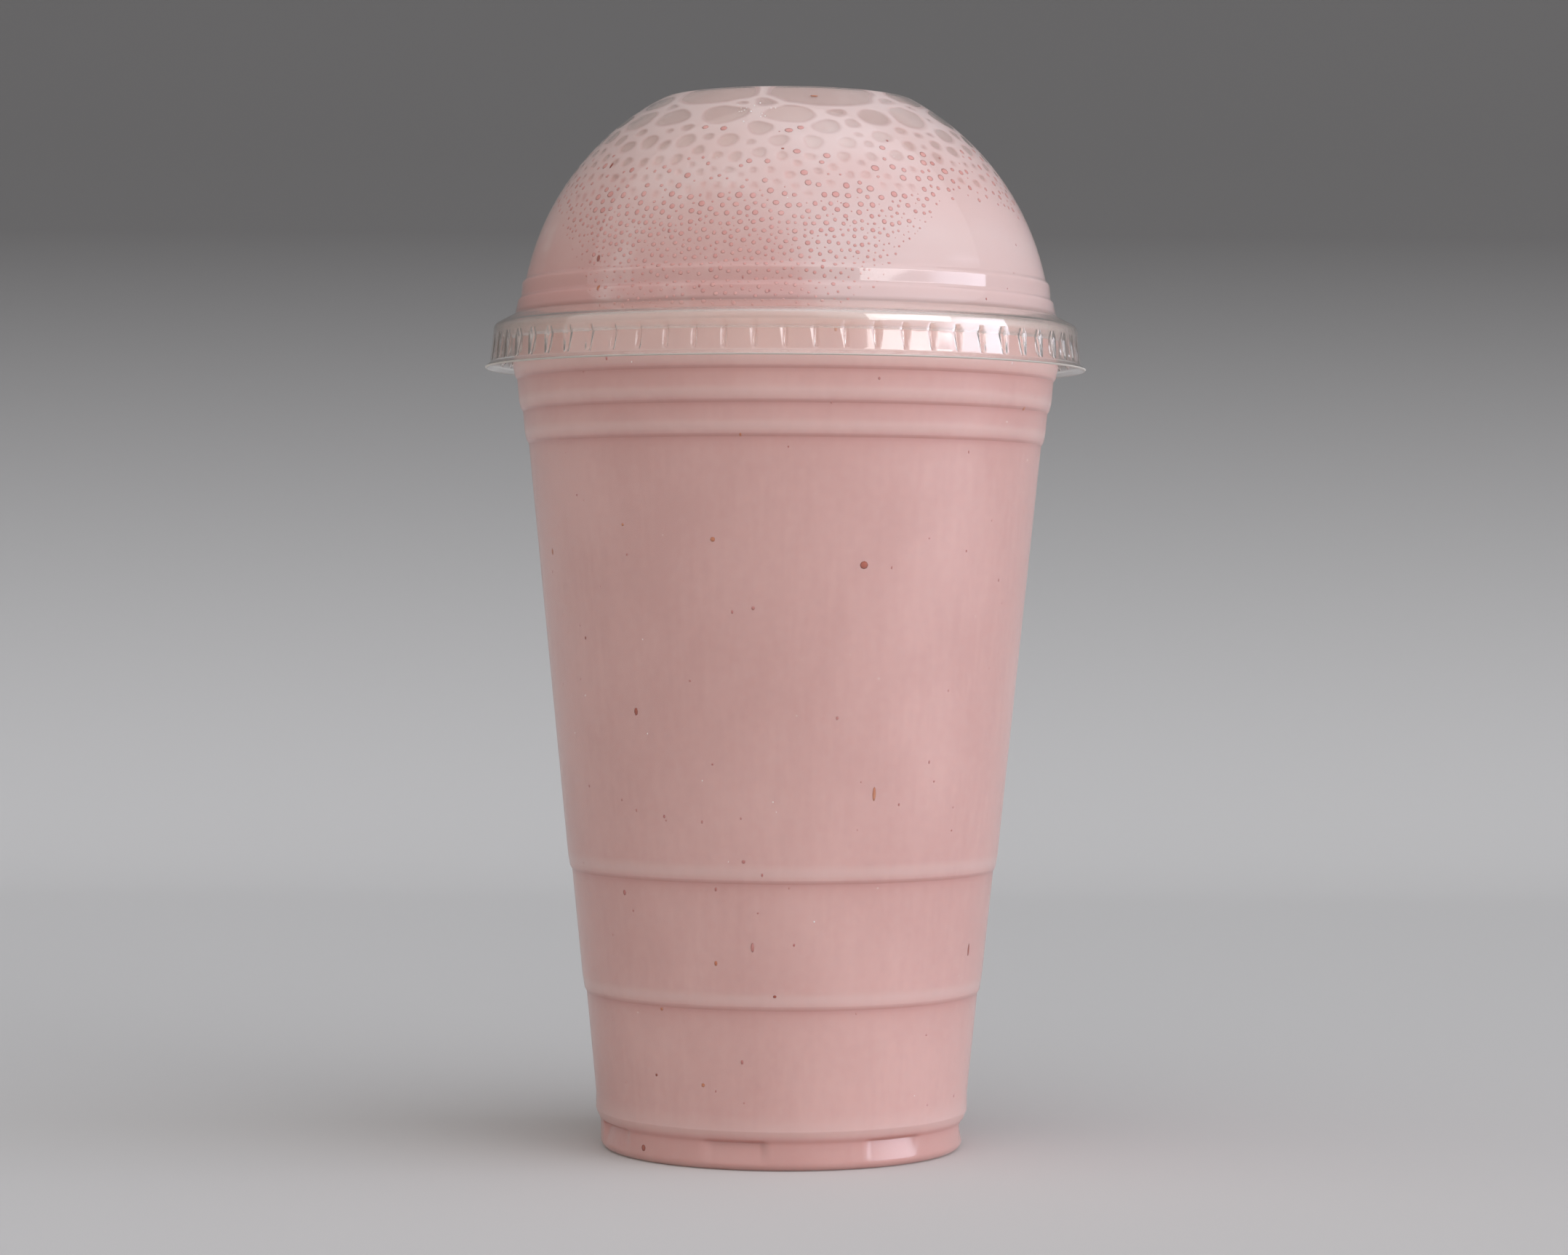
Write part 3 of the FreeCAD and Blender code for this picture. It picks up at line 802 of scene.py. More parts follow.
@dataclass
class Drink:
    """The drink inside the cup, its skin half-way into the cup's sheet so that no air shows."""

    cup: ClearCup
    reach: float = 0.2
    rows: float = 0.8
    # painted shade near the foot and under the rings, and a painted highlight on the rings' bellies,
    # all by height
    foot_shade: tuple[float, float] = (0.3, 8.0)
    shades_below: tuple[tuple[float, float], ...] = ((0.42, 0.8), (0.25, 2.6))
    hollow_shade_line: tuple[float, float] = (0.62, 0.4)
    hollow_above: float = 0.35
    belly: tuple[float, float, float] = (0.32, 1.7, 1.5)
    finish: BlendedFruit = field(default_factory=BlendedFruit)

    def skin(self) -> np.ndarray:
        """The drink's outline from the middle of the underside up to the neck."""
        return inset(self.cup.outline(self.rows), self.reach)

    def settled(self, height: np.ndarray) -> np.ndarray:
        """How much painted shade a height gets: more near the foot and in the hollows under the rings,
        and a painted highlight in the bellies.

        Args:
            height: heights above the table.

        Returns:
            Shares of the painted shade's colour, and below zero shares of the painted highlight's
            colour.
        """
        share, fade = self.foot_shade
        total = np.clip(1 - height / fade, 0, 1) * share
        line, width = self.hollow_shade_line
        painted_highlight, middle, half = self.belly
        for hollow in self.cup.hollows():
            off = height - hollow - self.hollow_above
            below = sum(dark * np.exp(-np.abs(off / run)) for dark, run in self.shades_below)
            out = np.minimum(np.abs(off - middle) / half, 1)
            above = line * np.exp(-((off / width) ** 2)) - painted_highlight * (1 - out**2) ** 2
            total = total + np.where(off < 0, below, above)
        return total

    def wall(self) -> np.ndarray:
        """The part of the outline that stands upright."""
        skin = self.skin()
        return skin[(skin[:, 0] > self.cup.foot_radius - 0.5) & (skin[:, 1] > self.cup.foot_round)]

    def build(self) -> bpy.types.Object:
        """Builds the drink up to the neck of the cup."""
        skin = self.skin()
        section = np.concatenate((skin, [(0.0, skin[-1, 1])]))
        mesh = turned_mesh("drink", section, self.cup.segments, self.cup.dent)
        heights = np.array([vertex.co.z for vertex in mesh.vertices]) / MM
        values = self.settled(heights).astype(np.float32)
        mesh.attributes.new("settled", "FLOAT", "POINT").data.foreach_set("value", values)
        return place("drink", mesh, self.finish.material(), "milkshake")


# ---------------------------------------------------------------- the lid


@dataclass
class DomeLid:
    """The snap-on dome lid: flared lip, skirt with a ring of darts, stacking steps and a dome."""

    wall: float = 0.35
    lip: tuple[float, float] = (51.05, 132.3)
    lip_edge: float = 0.12
    skirt_foot: tuple[float, float] = (50.2, 133.0)
    skirt_round: float = 0.4
    waist_foot: tuple[float, float] = (49.78, 136.3)
    waist_top: tuple[float, float] = (49.7, 137.7)
    waist_rounds: tuple[float, float] = (2.0, 3.0)
    shoulder: tuple[float, float] = (49.5, 139.36)
    shoulder_round: float = 1.2
    land_inner: tuple[float, float] = (46.0, 141.23)
    low_step: tuple[tuple[float, float], tuple[float, float]] = ((45.5, 143.6), (45.0, 144.1))
    high_step: tuple[tuple[float, float], tuple[float, float]] = ((44.85, 146.55), (44.2, 147.2))
    step_round: float = 0.8
    dome_centre: float = 138.16
    dome_steps: int = 28
    crown: tuple[float, float] = (21.35, 177.9)
    crown_round: float = 2.0
    hole_radius: float = 12.5
    darts: int = 64
    dart_zone: float = 1.25
    dart_columns: int = 16
    between_columns: int = 1
    dome_columns: int = 3
    lip_rows: float = 0.6
    dart_rows: float = 0.34
    land_rows: float = 1.1
    dome_rows: float = 2.2
    arc_step: float = 14.0
    weld: float = 0.01
    dart_depth: float = 0.38
    dart_span: tuple[float, float] = (136.5, 133.4)
    dart_half: tuple[float, float] = (1.2, 0.5)
    dart_head: float = 0.6
    crease_depth: float = 0.34
    crease_half: float = 0.46
    finish: ClearSheet = field(default_factory=lambda: ClearSheet("Clear_PET_lid"))

    def dome_corners(self) -> list[Corner]:
        """The outside above the land: two steps, the dome's arc and the crown."""
        corners = [
            Corner(*self.low_step[0], self.step_round),
            Corner(*self.low_step[1], self.step_round),
            Corner(*self.high_step[0], self.step_round),
        ]
        foot_r, foot_z = self.high_step[1]
        top_r, top_z = self.crown
        start = math.atan2(foot_z - self.dome_centre, foot_r)
        end = math.atan2(top_z - self.dome_centre, top_r)
        radius = math.hypot(foot_r, foot_z - self.dome_centre)
        roundings = {0: self.step_round, self.dome_steps: self.crown_round}
        for k in range(self.dome_steps + 1):
            angle = start + (end - start) * k / self.dome_steps
            r, z = radius * math.cos(angle), self.dome_centre + radius * math.sin(angle)
            corners.append(Corner(r, z, roundings.get(k, 0.0)))
        return corners

    def skirt_path(self) -> np.ndarray:
        """The outside from the lip up the skirt to the inner edge of the land."""
        corners = [
            Corner(*self.lip),
            Corner(*self.skirt_foot, self.skirt_round),
            Corner(*self.waist_foot, self.waist_rounds[0]),
            Corner(*self.waist_top, self.waist_rounds[1]),
            Corner(*self.shoulder, self.shoulder_round),
            Corner(*self.land_inner),
        ]
        path = rounded(corners, self.arc_step)
        pressed = (path[:, 1] > self.skirt_foot[1]) & (path[:, 1] < self.waist_top[1] - 0.2)
        first, last = np.flatnonzero(pressed)[[0, -1]]
        parts = (
            path[:1],
            path[:1] + (path[1] - path[0]) * self.lip_edge,
            resampled(path[: first + 1], self.lip_rows)[1:],
            resampled(path[first : last + 1], self.dart_rows)[1:],
            resampled(path[last:], self.land_rows)[1:],
        )
        return np.concatenate(parts)

    def dome_path(self) -> np.ndarray:
        """The outside from the inner edge of the land up to the edge of the hole."""
        corners = [
            Corner(*self.land_inner),
            *self.dome_corners(),
            Corner(self.hole_radius, self.crown[1]),
        ]
        return resampled(rounded(corners), self.dome_rows)

    def dart(self, off: np.ndarray, z: np.ndarray) -> np.ndarray:
        """Depth of a dart.

        Args:
            off: distance round the skirt from the dart's middle.
            z: heights.

        Returns:
            How far the skirt is pressed in there: a bowl that narrows downwards, and a crease.
        """
        high, low = self.dart_span
        down = np.clip((high - z) / (high - low), 0, 1)
        half = self.dart_half[0] + (self.dart_half[1] - self.dart_half[0]) * down
        over = np.clip((z - high) / self.dart_head, 0, 1)
        head = np.sqrt(1 - over**2)
        fade = np.clip((z - low + 0.2) / 0.4, 0, 1) * head
        bowl = np.clip(1 - (off / np.maximum(half * head, 0.02)) ** 2, 0, 1) ** 2
        crease = np.clip(1 - (off / self.crease_half) ** 2, 0, 1) ** 0.75
        return (self.dart_depth * bowl + self.crease_depth * crease) * fade

    def columns(self, share: float) -> tuple[np.ndarray, np.ndarray]:
        """Angles of the skirt's and the dome's columns over one share of the ring, in degrees."""
        edge = math.degrees(self.dart_zone / self.waist_top[0])
        side = np.linspace(edge, share / 2, self.between_columns + 1)[1:]
        middle = np.linspace(-edge, edge, self.dart_columns + 1)
        fine = np.concatenate((-side[::-1], middle, side))
        return fine, np.linspace(-share / 2, share / 2, self.dome_columns + 1)

    def sector(self) -> bpy.types.Mesh:
        """One dart's share of the whole lid, open on its two upright sides."""
        skirt, dome = self.skirt_path(), self.dome_path()
        inner_skirt, inner_dome = inset(skirt, self.wall), inset(dome, self.wall)
        joint = (inner_skirt[-1] + inner_dome[0]) / 2
        inner_skirt[-1], inner_dome[0] = joint, joint
        share = 360 / self.darts
        fine, coarse = self.columns(share)
        points: list[np.ndarray] = []
        faces: list[tuple[int, ...]] = []

        def rows(path: np.ndarray, columns: np.ndarray, pressed: bool) -> np.ndarray:
            """Adds a grid of points along a path, and returns their numbers."""
            r = np.repeat(path[:, :1], len(columns), axis=1)
            z = np.repeat(path[:, 1:], len(columns), axis=1)
            turn = np.radians(np.repeat(columns[None, :], len(path), axis=0))
            if pressed:
                r = r - self.dart(np.abs(turn) * self.waist_top[0], z)
            turn = turn + math.radians(FRONT)
            start = sum(len(block) for block in points)
            points.append(
                np.stack((r * np.cos(turn), r * np.sin(turn), z), axis=2).reshape(-1, 3)
            )
            return start + np.arange(r.size).reshape(r.shape)

        def weave(grid: np.ndarray, outwards: bool) -> None:
            """Fills a grid of point numbers with quads that face outwards or inwards."""
            for a, b in zip(grid[:-1], grid[1:]):
                for j in range(grid.shape[1] - 1):
                    quad = (a[j], a[j + 1], b[j + 1], b[j])
                    faces.append(tuple(int(n) for n in (quad if outwards else quad[::-1])))

        def fan(many: np.ndarray, few: np.ndarray, outwards: bool) -> None:
            """Joins a row of many columns to a row of few above it."""
            ratio = (len(many) - 1) // (len(few) - 1)
            for k in range(len(few) - 1):
                run = many[k * ratio : (k + 1) * ratio + 1]
                half = ratio // 2
                triangles = [(run[j], run[j + 1], few[k]) for j in range(half)]
                triangles.append((run[half], few[k + 1], few[k]))
                triangles += [(run[j], run[j + 1], few[k + 1]) for j in range(half, ratio)]
                for t in triangles:
                    faces.append(tuple(int(n) for n in (t if outwards else t[::-1])))

        # the land's last row is the dome's first, so the skirt's grid stops one row before it
        outer_low = rows(skirt[:-1], fine, True)
        outer_high = rows(dome, coarse, False)
        inner_low = rows(inner_skirt[:-1], fine, True)
        inner_high = rows(inner_dome, coarse, False)
        weave(outer_low, True)
        weave(outer_high, True)
        weave(inner_low, False)
        weave(inner_high, False)
        fan(outer_low[-1], outer_high[0], True)
        fan(inner_low[-1], inner_high[0], False)
        weave(np.stack((inner_low[0], outer_low[0])), True)
        weave(np.stack((outer_high[-1], inner_high[-1])), True)
        mesh = mesh_from("lid_sector", np.concatenate(points), faces)
        cut = np.zeros(len(mesh.vertices), dtype=np.float32)
        for row in (outer_low[0], inner_low[0], outer_high[-1], inner_high[-1]):
            cut[row] = 1.0
        mesh.attributes.new("cut_edge", "FLOAT", "POINT").data.foreach_set("value", cut)
        return mesh

    def ring_tree(self) -> bpy.types.NodeTree:
        """A tree that repeats a sector round the axis and welds the copies together."""
        named = (
            ("Count", "NodeSocketInt"),
            ("Weld distance", "NodeSocketFloat"),
            ("Finish", "NodeSocketMaterial"),
        )
        tree = new_geometry_tree("Repeat_round_the_axis", named)
        given = add_node(tree, "NodeGroupInput").outputs
        spots = add_node(tree, "GeometryNodePoints", {"Count": given["Count"]})
        number = add_node(tree, "GeometryNodeInputIndex")
        share = reckoned(tree, "DIVIDE", math.tau, given["Count"])
        turn = reckoned(tree, "MULTIPLY", share, number.outputs["Index"])
        spin = add_node(tree, "ShaderNodeCombineXYZ", {"Z": turn})
        inputs = {
            "Points": spots.outputs[0],
            "Instance": given["Geometry"],
            "Rotation": spin.outputs["Vector"],
        }
        copies = add_node(tree, "GeometryNodeInstanceOnPoints", inputs)
        inputs = {"Geometry": realized(tree, copies), "Distance": given["Weld distance"]}
        weld = add_node(tree, "GeometryNodeMergeByDistance", inputs)
        end_geometry_tree(tree, weld.outputs["Geometry"], given["Finish"])
        return tree

    def build(self) -> bpy.types.Object:
        """Builds the lid from one sector, repeated once for each dart."""
        finish = self.finish.material()
        inputs = {"Count": self.darts, "Weld distance": self.weld * MM, "Finish": finish}
        mesh = run_tree(self.ring_tree(), self.sector(), "lid_sheet", inputs)
        return place("lid_sheet", mesh, finish, "lid")


# ---------------------------------------------------------------- the froth


@dataclass(frozen=True)
class Bubbles:
    """Bubbles against the lid, one row of each array for each bubble.

    Angles are in degrees from the camera side, down is the distance from the crown's edge along
    the froth's skin, and the half sizes are along and across that distance.
    """

    angle: np.ndarray
    down: np.ndarray
    wide: np.ndarray
    high: np.ndarray

    def where(self, keep: np.ndarray) -> "Bubbles":
        """Only the bubbles that a mask keeps."""
        return Bubbles(self.angle[keep], self.down[keep], self.wide[keep], self.high[keep])


@dataclass
class FoamPattern:
    """How froth sorts itself in a dome: large flat bubbles at the crown, pinpricks lower down.

    Each table holds pairs of distance down from the crown's edge and a size there. A gap below
    zero lets large bubbles press into each other.
    """

    seed: int = 11
    bands: tuple[float, ...] = (-7.5, 3.0, 10.0, 13.5, 17.0, 20.5, 24.0, 28.0, 33.0, 40.0, 47.0)
    half_high: tuple[tuple[float, float], ...] = (
        (-7.5, 3.6),
        (4.0, 2.9),
        (9.5, 1.9),
        (13.0, 1.35),
        (17.0, 0.95),
        (21.0, 0.66),
        (25.0, 0.46),
        (29.0, 0.33),
        (33.0, 0.25),
        (47.0, 0.2),
    )
    ratio: tuple[tuple[float, float], ...] = ((-7.5, 2.1), (6.0, 1.7), (11.0, 1.3), (20.0, 1.05))
    gap: tuple[tuple[float, float], ...] = (
        (-7.5, -1.2),
        (6.0, -0.6),
        (10.0, 0.3),
        (14.0, 0.6),
        (20.0, 0.65),
        (28.0, 0.6),
        (34.0, 0.45),
        (47.0, 0.8),
    )
    passes: tuple[float, ...] = (1.5, 1.2, 1.0, 0.8, 0.6, 0.42)
    crowding: float = 9.0
    tongues: tuple[tuple[float, float, float], ...] = (
        (-14.0, 44.0, 35.0),
        (118.0, 40.0, 22.0),
        (-135.0, 36.0, 26.0),
    )
    tongue_root: float = 15.0
    ripple: tuple[float, int] = (1.5, 7)
    ragged: float = 7.0

    def table(self, name: str, down: np.ndarray) -> np.ndarray:
        """Looks a size up in one of the tables."""
        pairs = np.array(getattr(self, name))
        return np.interp(down, pairs[:, 0], pairs[:, 1])

    def reach(self, angle: np.ndarray) -> np.ndarray:
        """How far down the pinpricks go: in three tongues, the longest left of the front."""
        level = self.tongue_root
        for middle, spread, depth in self.tongues:
            off = (angle - middle + 180) % 360 - 180
            level = level + depth * np.exp(-((off / spread) ** 2))
        size, count = self.ripple
        return level + size * np.sin(np.radians(count * angle))

    def grow(self, radius_at: Callable[[np.ndarray], np.ndarray]) -> Bubbles:
        """Throws bubbles band by band and from large to small, each clear of those before it.

        Args:
            radius_at: the froth's distance from the axis at a distance down.

        Returns:
            All bubbles, the same ones on every run.
        """
        rng = np.random.default_rng(self.seed)
        kept = np.zeros((0, 4))
        for low, high in zip(self.bands[:-1], self.bands[1:]):
            middle = np.array([(low + high) / 2])
            size = float(self.table("half_high", middle)[0])
            area = (high - low) * math.tau * float(radius_at(middle)[0])
            tries = int(self.crowding * area / (2 * size + 0.6) ** 2)
            for factor in self.passes:
                down = rng.uniform(low, high, tries)
                angle = rng.uniform(-180, 180, tries)
                tall = self.table("half_high", down) * factor * rng.uniform(0.85, 1.15, tries)
                wide = tall * self.table("ratio", down) * rng.uniform(0.85, 1.2, tries)
                gap = self.table("gap", down)
                radius = np.radians(radius_at(down))
                left = self.reach(angle) + self.ragged * rng.uniform(-1.0, 1.0, tries) ** 3 - down
                # they get smaller over the last millimetres of a tongue
                small = np.clip((left + 5) / 9, 0.5, 1)
                tall, wide, fits = tall * small, wide * small, left > 0
                for i in np.flatnonzero(fits):
                    near = kept[np.abs(kept[:, 1] - down[i]) < 9] if len(kept) else kept
                    off = (angle[i] - near[:, 0] + 180) % 360 - 180
                    across = off * radius[i] / (wide[i] + near[:, 2] + gap[i])
                    along = (down[i] - near[:, 1]) / (tall[i] + near[:, 3] + gap[i])
                    if np.all(across**2 + along**2 > 1):
                        kept = np.vstack((kept, (angle[i], down[i], wide[i], tall[i])))
        return Bubbles(*kept.T)


@dataclass
class Froth:
    """The froth that fills the dome, with large bubbles flattened against the clear top."""

    lid: DomeLid
    pattern: FoamPattern = field(default_factory=FoamPattern)
    reach: float = 0.2
    floor: float = 138.05
    neck_radius: float = 45.8
    dip_radius: float = 13.5
    dip_floor: float = 172.95
    dip_round: float = 3.0
    dip_edge_round: float = 0.4
    dip_margin: float = 0.6
    columns: int = 512
    fine_rows: float = 0.34
    fine_down_to: float = 160.0
    coarse_rows: float = 0.9
    dip_rows: float = 1.5
    wall: float = 0.8
    wall_blend: float = 0.3
    lobe: float = 0.06
    tones: tuple[float, float] = (0.95, 1.04)
    pressed_from: float = 0.62
    pressed_depth: float = 0.5
    pressed_run: float = 0.6
    edge_width: float = 0.45
    dot_bulge: float = 0.05
    seed: int = 5
    finish: MilkFroth = field(default_factory=MilkFroth)

    def skin(self) -> np.ndarray:
        """The froth's outline from the axis, up out of the dip, over the crown and to the neck."""
        dome = inset(self.lid.dome_path(), self.reach)[::-1]
        dome = dome[dome[:, 0] > self.dip_radius + self.dip_margin]
        top = dome[0, 1]
        corners = [
            Corner(0, self.dip_floor),
            Corner(self.dip_radius, self.dip_floor, self.dip_round),
            Corner(self.dip_radius, top, self.dip_edge_round),
            Corner(self.dip_radius + self.dip_margin, top),
        ]
        high, low = dome[dome[:, 1] > self.fine_down_to], dome[dome[:, 1] <= self.fine_down_to]
        neck = np.array([(self.neck_radius, low[-1, 1]), (self.neck_radius, self.floor)])
        parts = (
            resampled(rounded(corners), self.dip_rows),
            resampled(high, self.fine_rows)[1:],
            resampled(np.concatenate((high[-1:], low, neck)), self.coarse_rows)[1:],
        )
        return np.concatenate(parts)

    def wall_outline(self) -> np.ndarray:
        """The part of the outline outside the crown."""
        skin = self.skin()
        return skin[skin[:, 0] > self.lid.crown[0] + 1.0]

    def distance_down(self, path: np.ndarray) -> np.ndarray:
        """Distance of each outline point from the crown's edge, along the outline."""
        steps = np.linalg.norm(np.diff(path, axis=0), axis=1)
        along = np.concatenate(([0.0], np.cumsum(steps)))
        crown = np.argmin(np.hypot(*(path - self.lid.crown).T))
        return along - along[crown]

    def press(
        self, bubbles: Bubbles, radius: np.ndarray, along: np.ndarray
    ) -> tuple[np.ndarray, np.ndarray]:
        """Works out where the large bubbles' walls and middles are on the froth's grid.

        Args:
            bubbles: the bubbles that are large enough for the grid.
            radius: distance from the axis of each row.
            along: distance down of each row.

        Returns:
            For each grid point, how far it is outside a bubble's edge, and its bubble's tone.
        """
        rng = np.random.default_rng(self.seed)
        angles = np.arange(self.columns) / self.columns * 360.0 - FRONT
        nearest = np.full((len(along), self.columns), 1e3)
        second = nearest.copy()
        tone = np.ones_like(nearest)
        for angle, down, wide, high in zip(
            bubbles.angle, bubbles.down, bubbles.wide, bubbles.high
        ):
            lobes = rng.uniform(-self.lobe, self.lobe, 4)
            own_tone = rng.uniform(*self.tones)
            rows = np.flatnonzero(np.abs(along - down) < 2.2 * high + 3)
            off = (angles - angle + 180) % 360 - 180
            x = np.radians(off)[None, :] * radius[rows, None] / wide
            y = np.broadcast_to((along[rows] - down)[:, None] / high, x.shape)
            bearing = np.arctan2(y, x)
            wobble = 1 + lobes[0] * np.cos(2 * bearing) + lobes[1] * np.sin(2 * bearing)
            wobble += lobes[2] * np.cos(3 * bearing) + lobes[3] * np.sin(3 * bearing)
            gap = (np.hypot(x, y) - wobble) * math.sqrt(wide * high)
            closer = gap < nearest[rows]
            second[rows] = np.where(closer, nearest[rows], np.minimum(second[rows], gap))
            tone[rows] = np.where(closer & (gap < 0), own_tone, tone[rows])
            nearest[rows] = np.minimum(nearest[rows], gap)
        between = (self.wall - (second - nearest)) / 2
        apart = np.sqrt((nearest - between) ** 2 + self.wall_blend**2)
        return (nearest + between + apart) / 2, tone

    def build(self) -> bpy.types.Object:
        """Builds the froth, with the bubbles pressed into its skin and marked for the finish."""
        path = self.skin()
        section = np.concatenate((path, [(0.0, self.floor)]))
        along = self.distance_down(section)
        bubbles = self.pattern.grow(lambda down: np.interp(down, along[:-1], section[:-1, 0]))
        large = bubbles.high > self.pressed_from
        outside, tone = self.press(bubbles.where(large), section[:, 0], along)
        inside = np.clip(0.5 - outside / self.edge_width, 0, 1)
        inside = inside * inside * (3 - 2 * inside)
        depth = self.pressed_depth * (1 - np.exp(-np.maximum(-outside, 0) / self.pressed_run))
        depth *= (section[:, 0] > self.dip_radius + 0.8)[:, None]
        # turned_mesh runs down the outside, as this section does, so rows keep their order
        mesh = turned_mesh("froth_head", section, self.columns, lambda r, z, angle: depth)
        self.mark(mesh, section, "bubble", inside)
        self.mark(mesh, section, "tone", tone)
        self.dots(bubbles.where(~large), path, along[:-1])
        return place("froth_head", mesh, self.finish.material(), "froth")

    def mark(
        self, mesh: bpy.types.Mesh, section: np.ndarray, name: str, values: np.ndarray
    ) -> None:
        """Stores a value for every point of the froth's mesh as an attribute."""
        flat = [row[:1] if r < ON_AXIS else row for r, row in zip(section[:, 0], values)]
        attribute = mesh.attributes.new(name, "FLOAT", "POINT")
        attribute.data.foreach_set("value", np.concatenate(flat).astype(np.float32))

    def dots(self, bubbles: Bubbles, path: np.ndarray, along: np.ndarray) -> bpy.types.Object:
        """Sets a small dark lens on the froth's skin for every bubble too small for its grid; its
        darker pink is partly the drink seen through and partly painted shade.
        """
        (r, z), (next_r, next_z) = (
            [np.interp(down, along, column) for column in path.T]
            for down in (bubbles.down, bubbles.down + 0.2)
        )
        lean = np.arctan2(z - next_z, next_r - r)
        bulge = np.full(len(r), self.dot_bulge)
        spots = Spots(bubbles.angle, r, z, lean, bubbles.wide, bubbles.high, bulge)
        finish = WetSpeck("Bubble_middle", "#D08C84", "#D99D95", 0.3)
        return spots.build("froth_pinpricks", finish, Slot.FROTH)


@dataclass(frozen=True)
class Spots:
    """Small lenses on a turned surface, one row of each array for each lens.

    Angles are in degrees from the camera side, lengths in millimetres, and the lean is the angle
    of the surface's downward run from level, in radians.
    """

    angle: np.ndarray
    radius: np.ndarray
    height: np.ndarray
    lean: np.ndarray
    wide: np.ndarray
    high: np.ndarray
    bulge: np.ndarray

    @classmethod
    def on_wall(cls, wall: np.ndarray, flecks: "list[Fleck]") -> "Spots":
        """Lays lenses flat on a turned wall.

        Args:
            wall: the wall's outline, with a single distance from the axis at each height.
            flecks: what the lenses stand for.

        Returns:
            The lenses.
        """
        wall = wall[np.argsort(wall[:, 1], kind="stable")]
        angle, height, wide, high = np.array([(f.angle, f.height, f.wide, f.high) for f in flecks]).T
        radius = np.interp(height, wall[:, 1], wall[:, 0])
        down = 0.3
        lower = np.interp(height - down, wall[:, 1], wall[:, 0])
        lean = np.arctan2(np.full(len(radius), down), lower - radius)
        return cls(angle, radius, height, lean, wide, high, np.minimum(wide * 0.5, 0.12))

    def lens(self) -> bpy.types.Mesh:
        """A low closed lens of radius one that faces +Z, with 24 faces."""
        sides = 8
        turn = np.arange(sides) / sides * math.tau
        ring = np.stack((np.cos(turn), np.sin(turn), np.zeros(sides)), axis=1)
        high = ring * 0.62 + (0, 0, 0.75)
        points = np.concatenate((ring, high, [(0, 0, 1.0), (0, 0, -0.5)])) / MM
        top, bottom = 2 * sides, 2 * sides + 1
        faces: list[tuple[int, ...]] = []
        for k in range(sides):
            n = (k + 1) % sides
            faces += [(k, n, sides + n, sides + k), (sides + k, sides + n, top), (n, k, bottom)]
        return mesh_from("lens", points, faces)

    def tree(self) -> bpy.types.NodeTree:
        """A tree that sets a lens on every point, turned and sized by the point's attributes."""
        named = (("Lens", "NodeSocketObject"), ("Finish", "NodeSocketMaterial"))
        tree = new_geometry_tree("Lens_on_every_point", named)
        given = add_node(tree, "NodeGroupInput").outputs
        lens = add_node(tree, "GeometryNodeObjectInfo", {"Object": given["Lens"]})
        inputs = {"Points": given["Geometry"], "Instance": lens.outputs["Geometry"]}
        for socket, name in (("Rotation", "turn"), ("Scale", "size")):
            values = add_node(
                tree, "GeometryNodeInputNamedAttribute", {"Name": name}, data_type="FLOAT_VECTOR"
            )
            inputs[socket] = values.outputs["Attribute"]
        copies = add_node(tree, "GeometryNodeInstanceOnPoints", inputs)
        end_geometry_tree(tree, realized(tree, copies), given["Finish"])
        return tree

    def build(self, name: str, finish: WetSpeck, slot: Slot) -> bpy.types.Object:
        """Builds all lenses as one piece.

        Args:
            name: the piece's name.
            finish: its finish.
            slot: not used.

        Returns:
            The piece.
        """
        turn = np.radians(self.angle + FRONT)
        points = np.stack(
            (self.radius * np.cos(turn), self.radius * np.sin(turn), self.height), axis=1
        )
        # a lens faces +Z; it is tipped over by the surface's lean and then turned round the axis
        facing = np.stack((np.zeros(len(turn)), self.lean, turn), axis=1)
        size = np.stack((self.high, self.wide, self.bulge), axis=1) * MM
        mesh = mesh_from(f"{name}_points", points, [])
        for label, values in (("turn", facing), ("size", size)):
            attribute = mesh.attributes.new(label, "FLOAT_VECTOR", "POINT")
            attribute.data.foreach_set("vector", values.astype(np.float32).ravel())
        lens = bpy.data.objects.new("lens", self.lens())
        bpy.context.scene.collection.objects.link(lens)
        material = finish.material()
        baked = run_tree(self.tree(), mesh, name, {"Lens": lens, "Finish": material})
        bpy.data.objects.remove(lens)
        baked.polygons.foreach_set("use_smooth", [True] * len(baked.polygons))
        return place(name, baked, material)


class Bit(Enum):
    """Small things in the drink that touch the clear wall."""

    SEED = ("Strawberry_seed", "#8E3420", "#AA4C31", 0.35)
    PULP = ("Orange_pulp", "#B9653F", "#C98059", 0.4)
    SHRED = ("Strawberry_flesh", "#B5665F", "#C27F78", 0.45)
    # tiny beads of air, painted near white so that they stand for their glints: painted highlights
    BEAD = ("Trapped_air_bead", "#F6ECE9", "#FFFFFF", 0.08)

    def finish(self) -> WetSpeck:
        """The finish of this kind of bit."""
        return WetSpeck(*self.value)


@dataclass(frozen=True)
class Fleck:
    """One fleck: its kind, angle and height, and its half width and half height."""

    kind: Bit
    angle: float
    height: float
    wide: float
    high: float


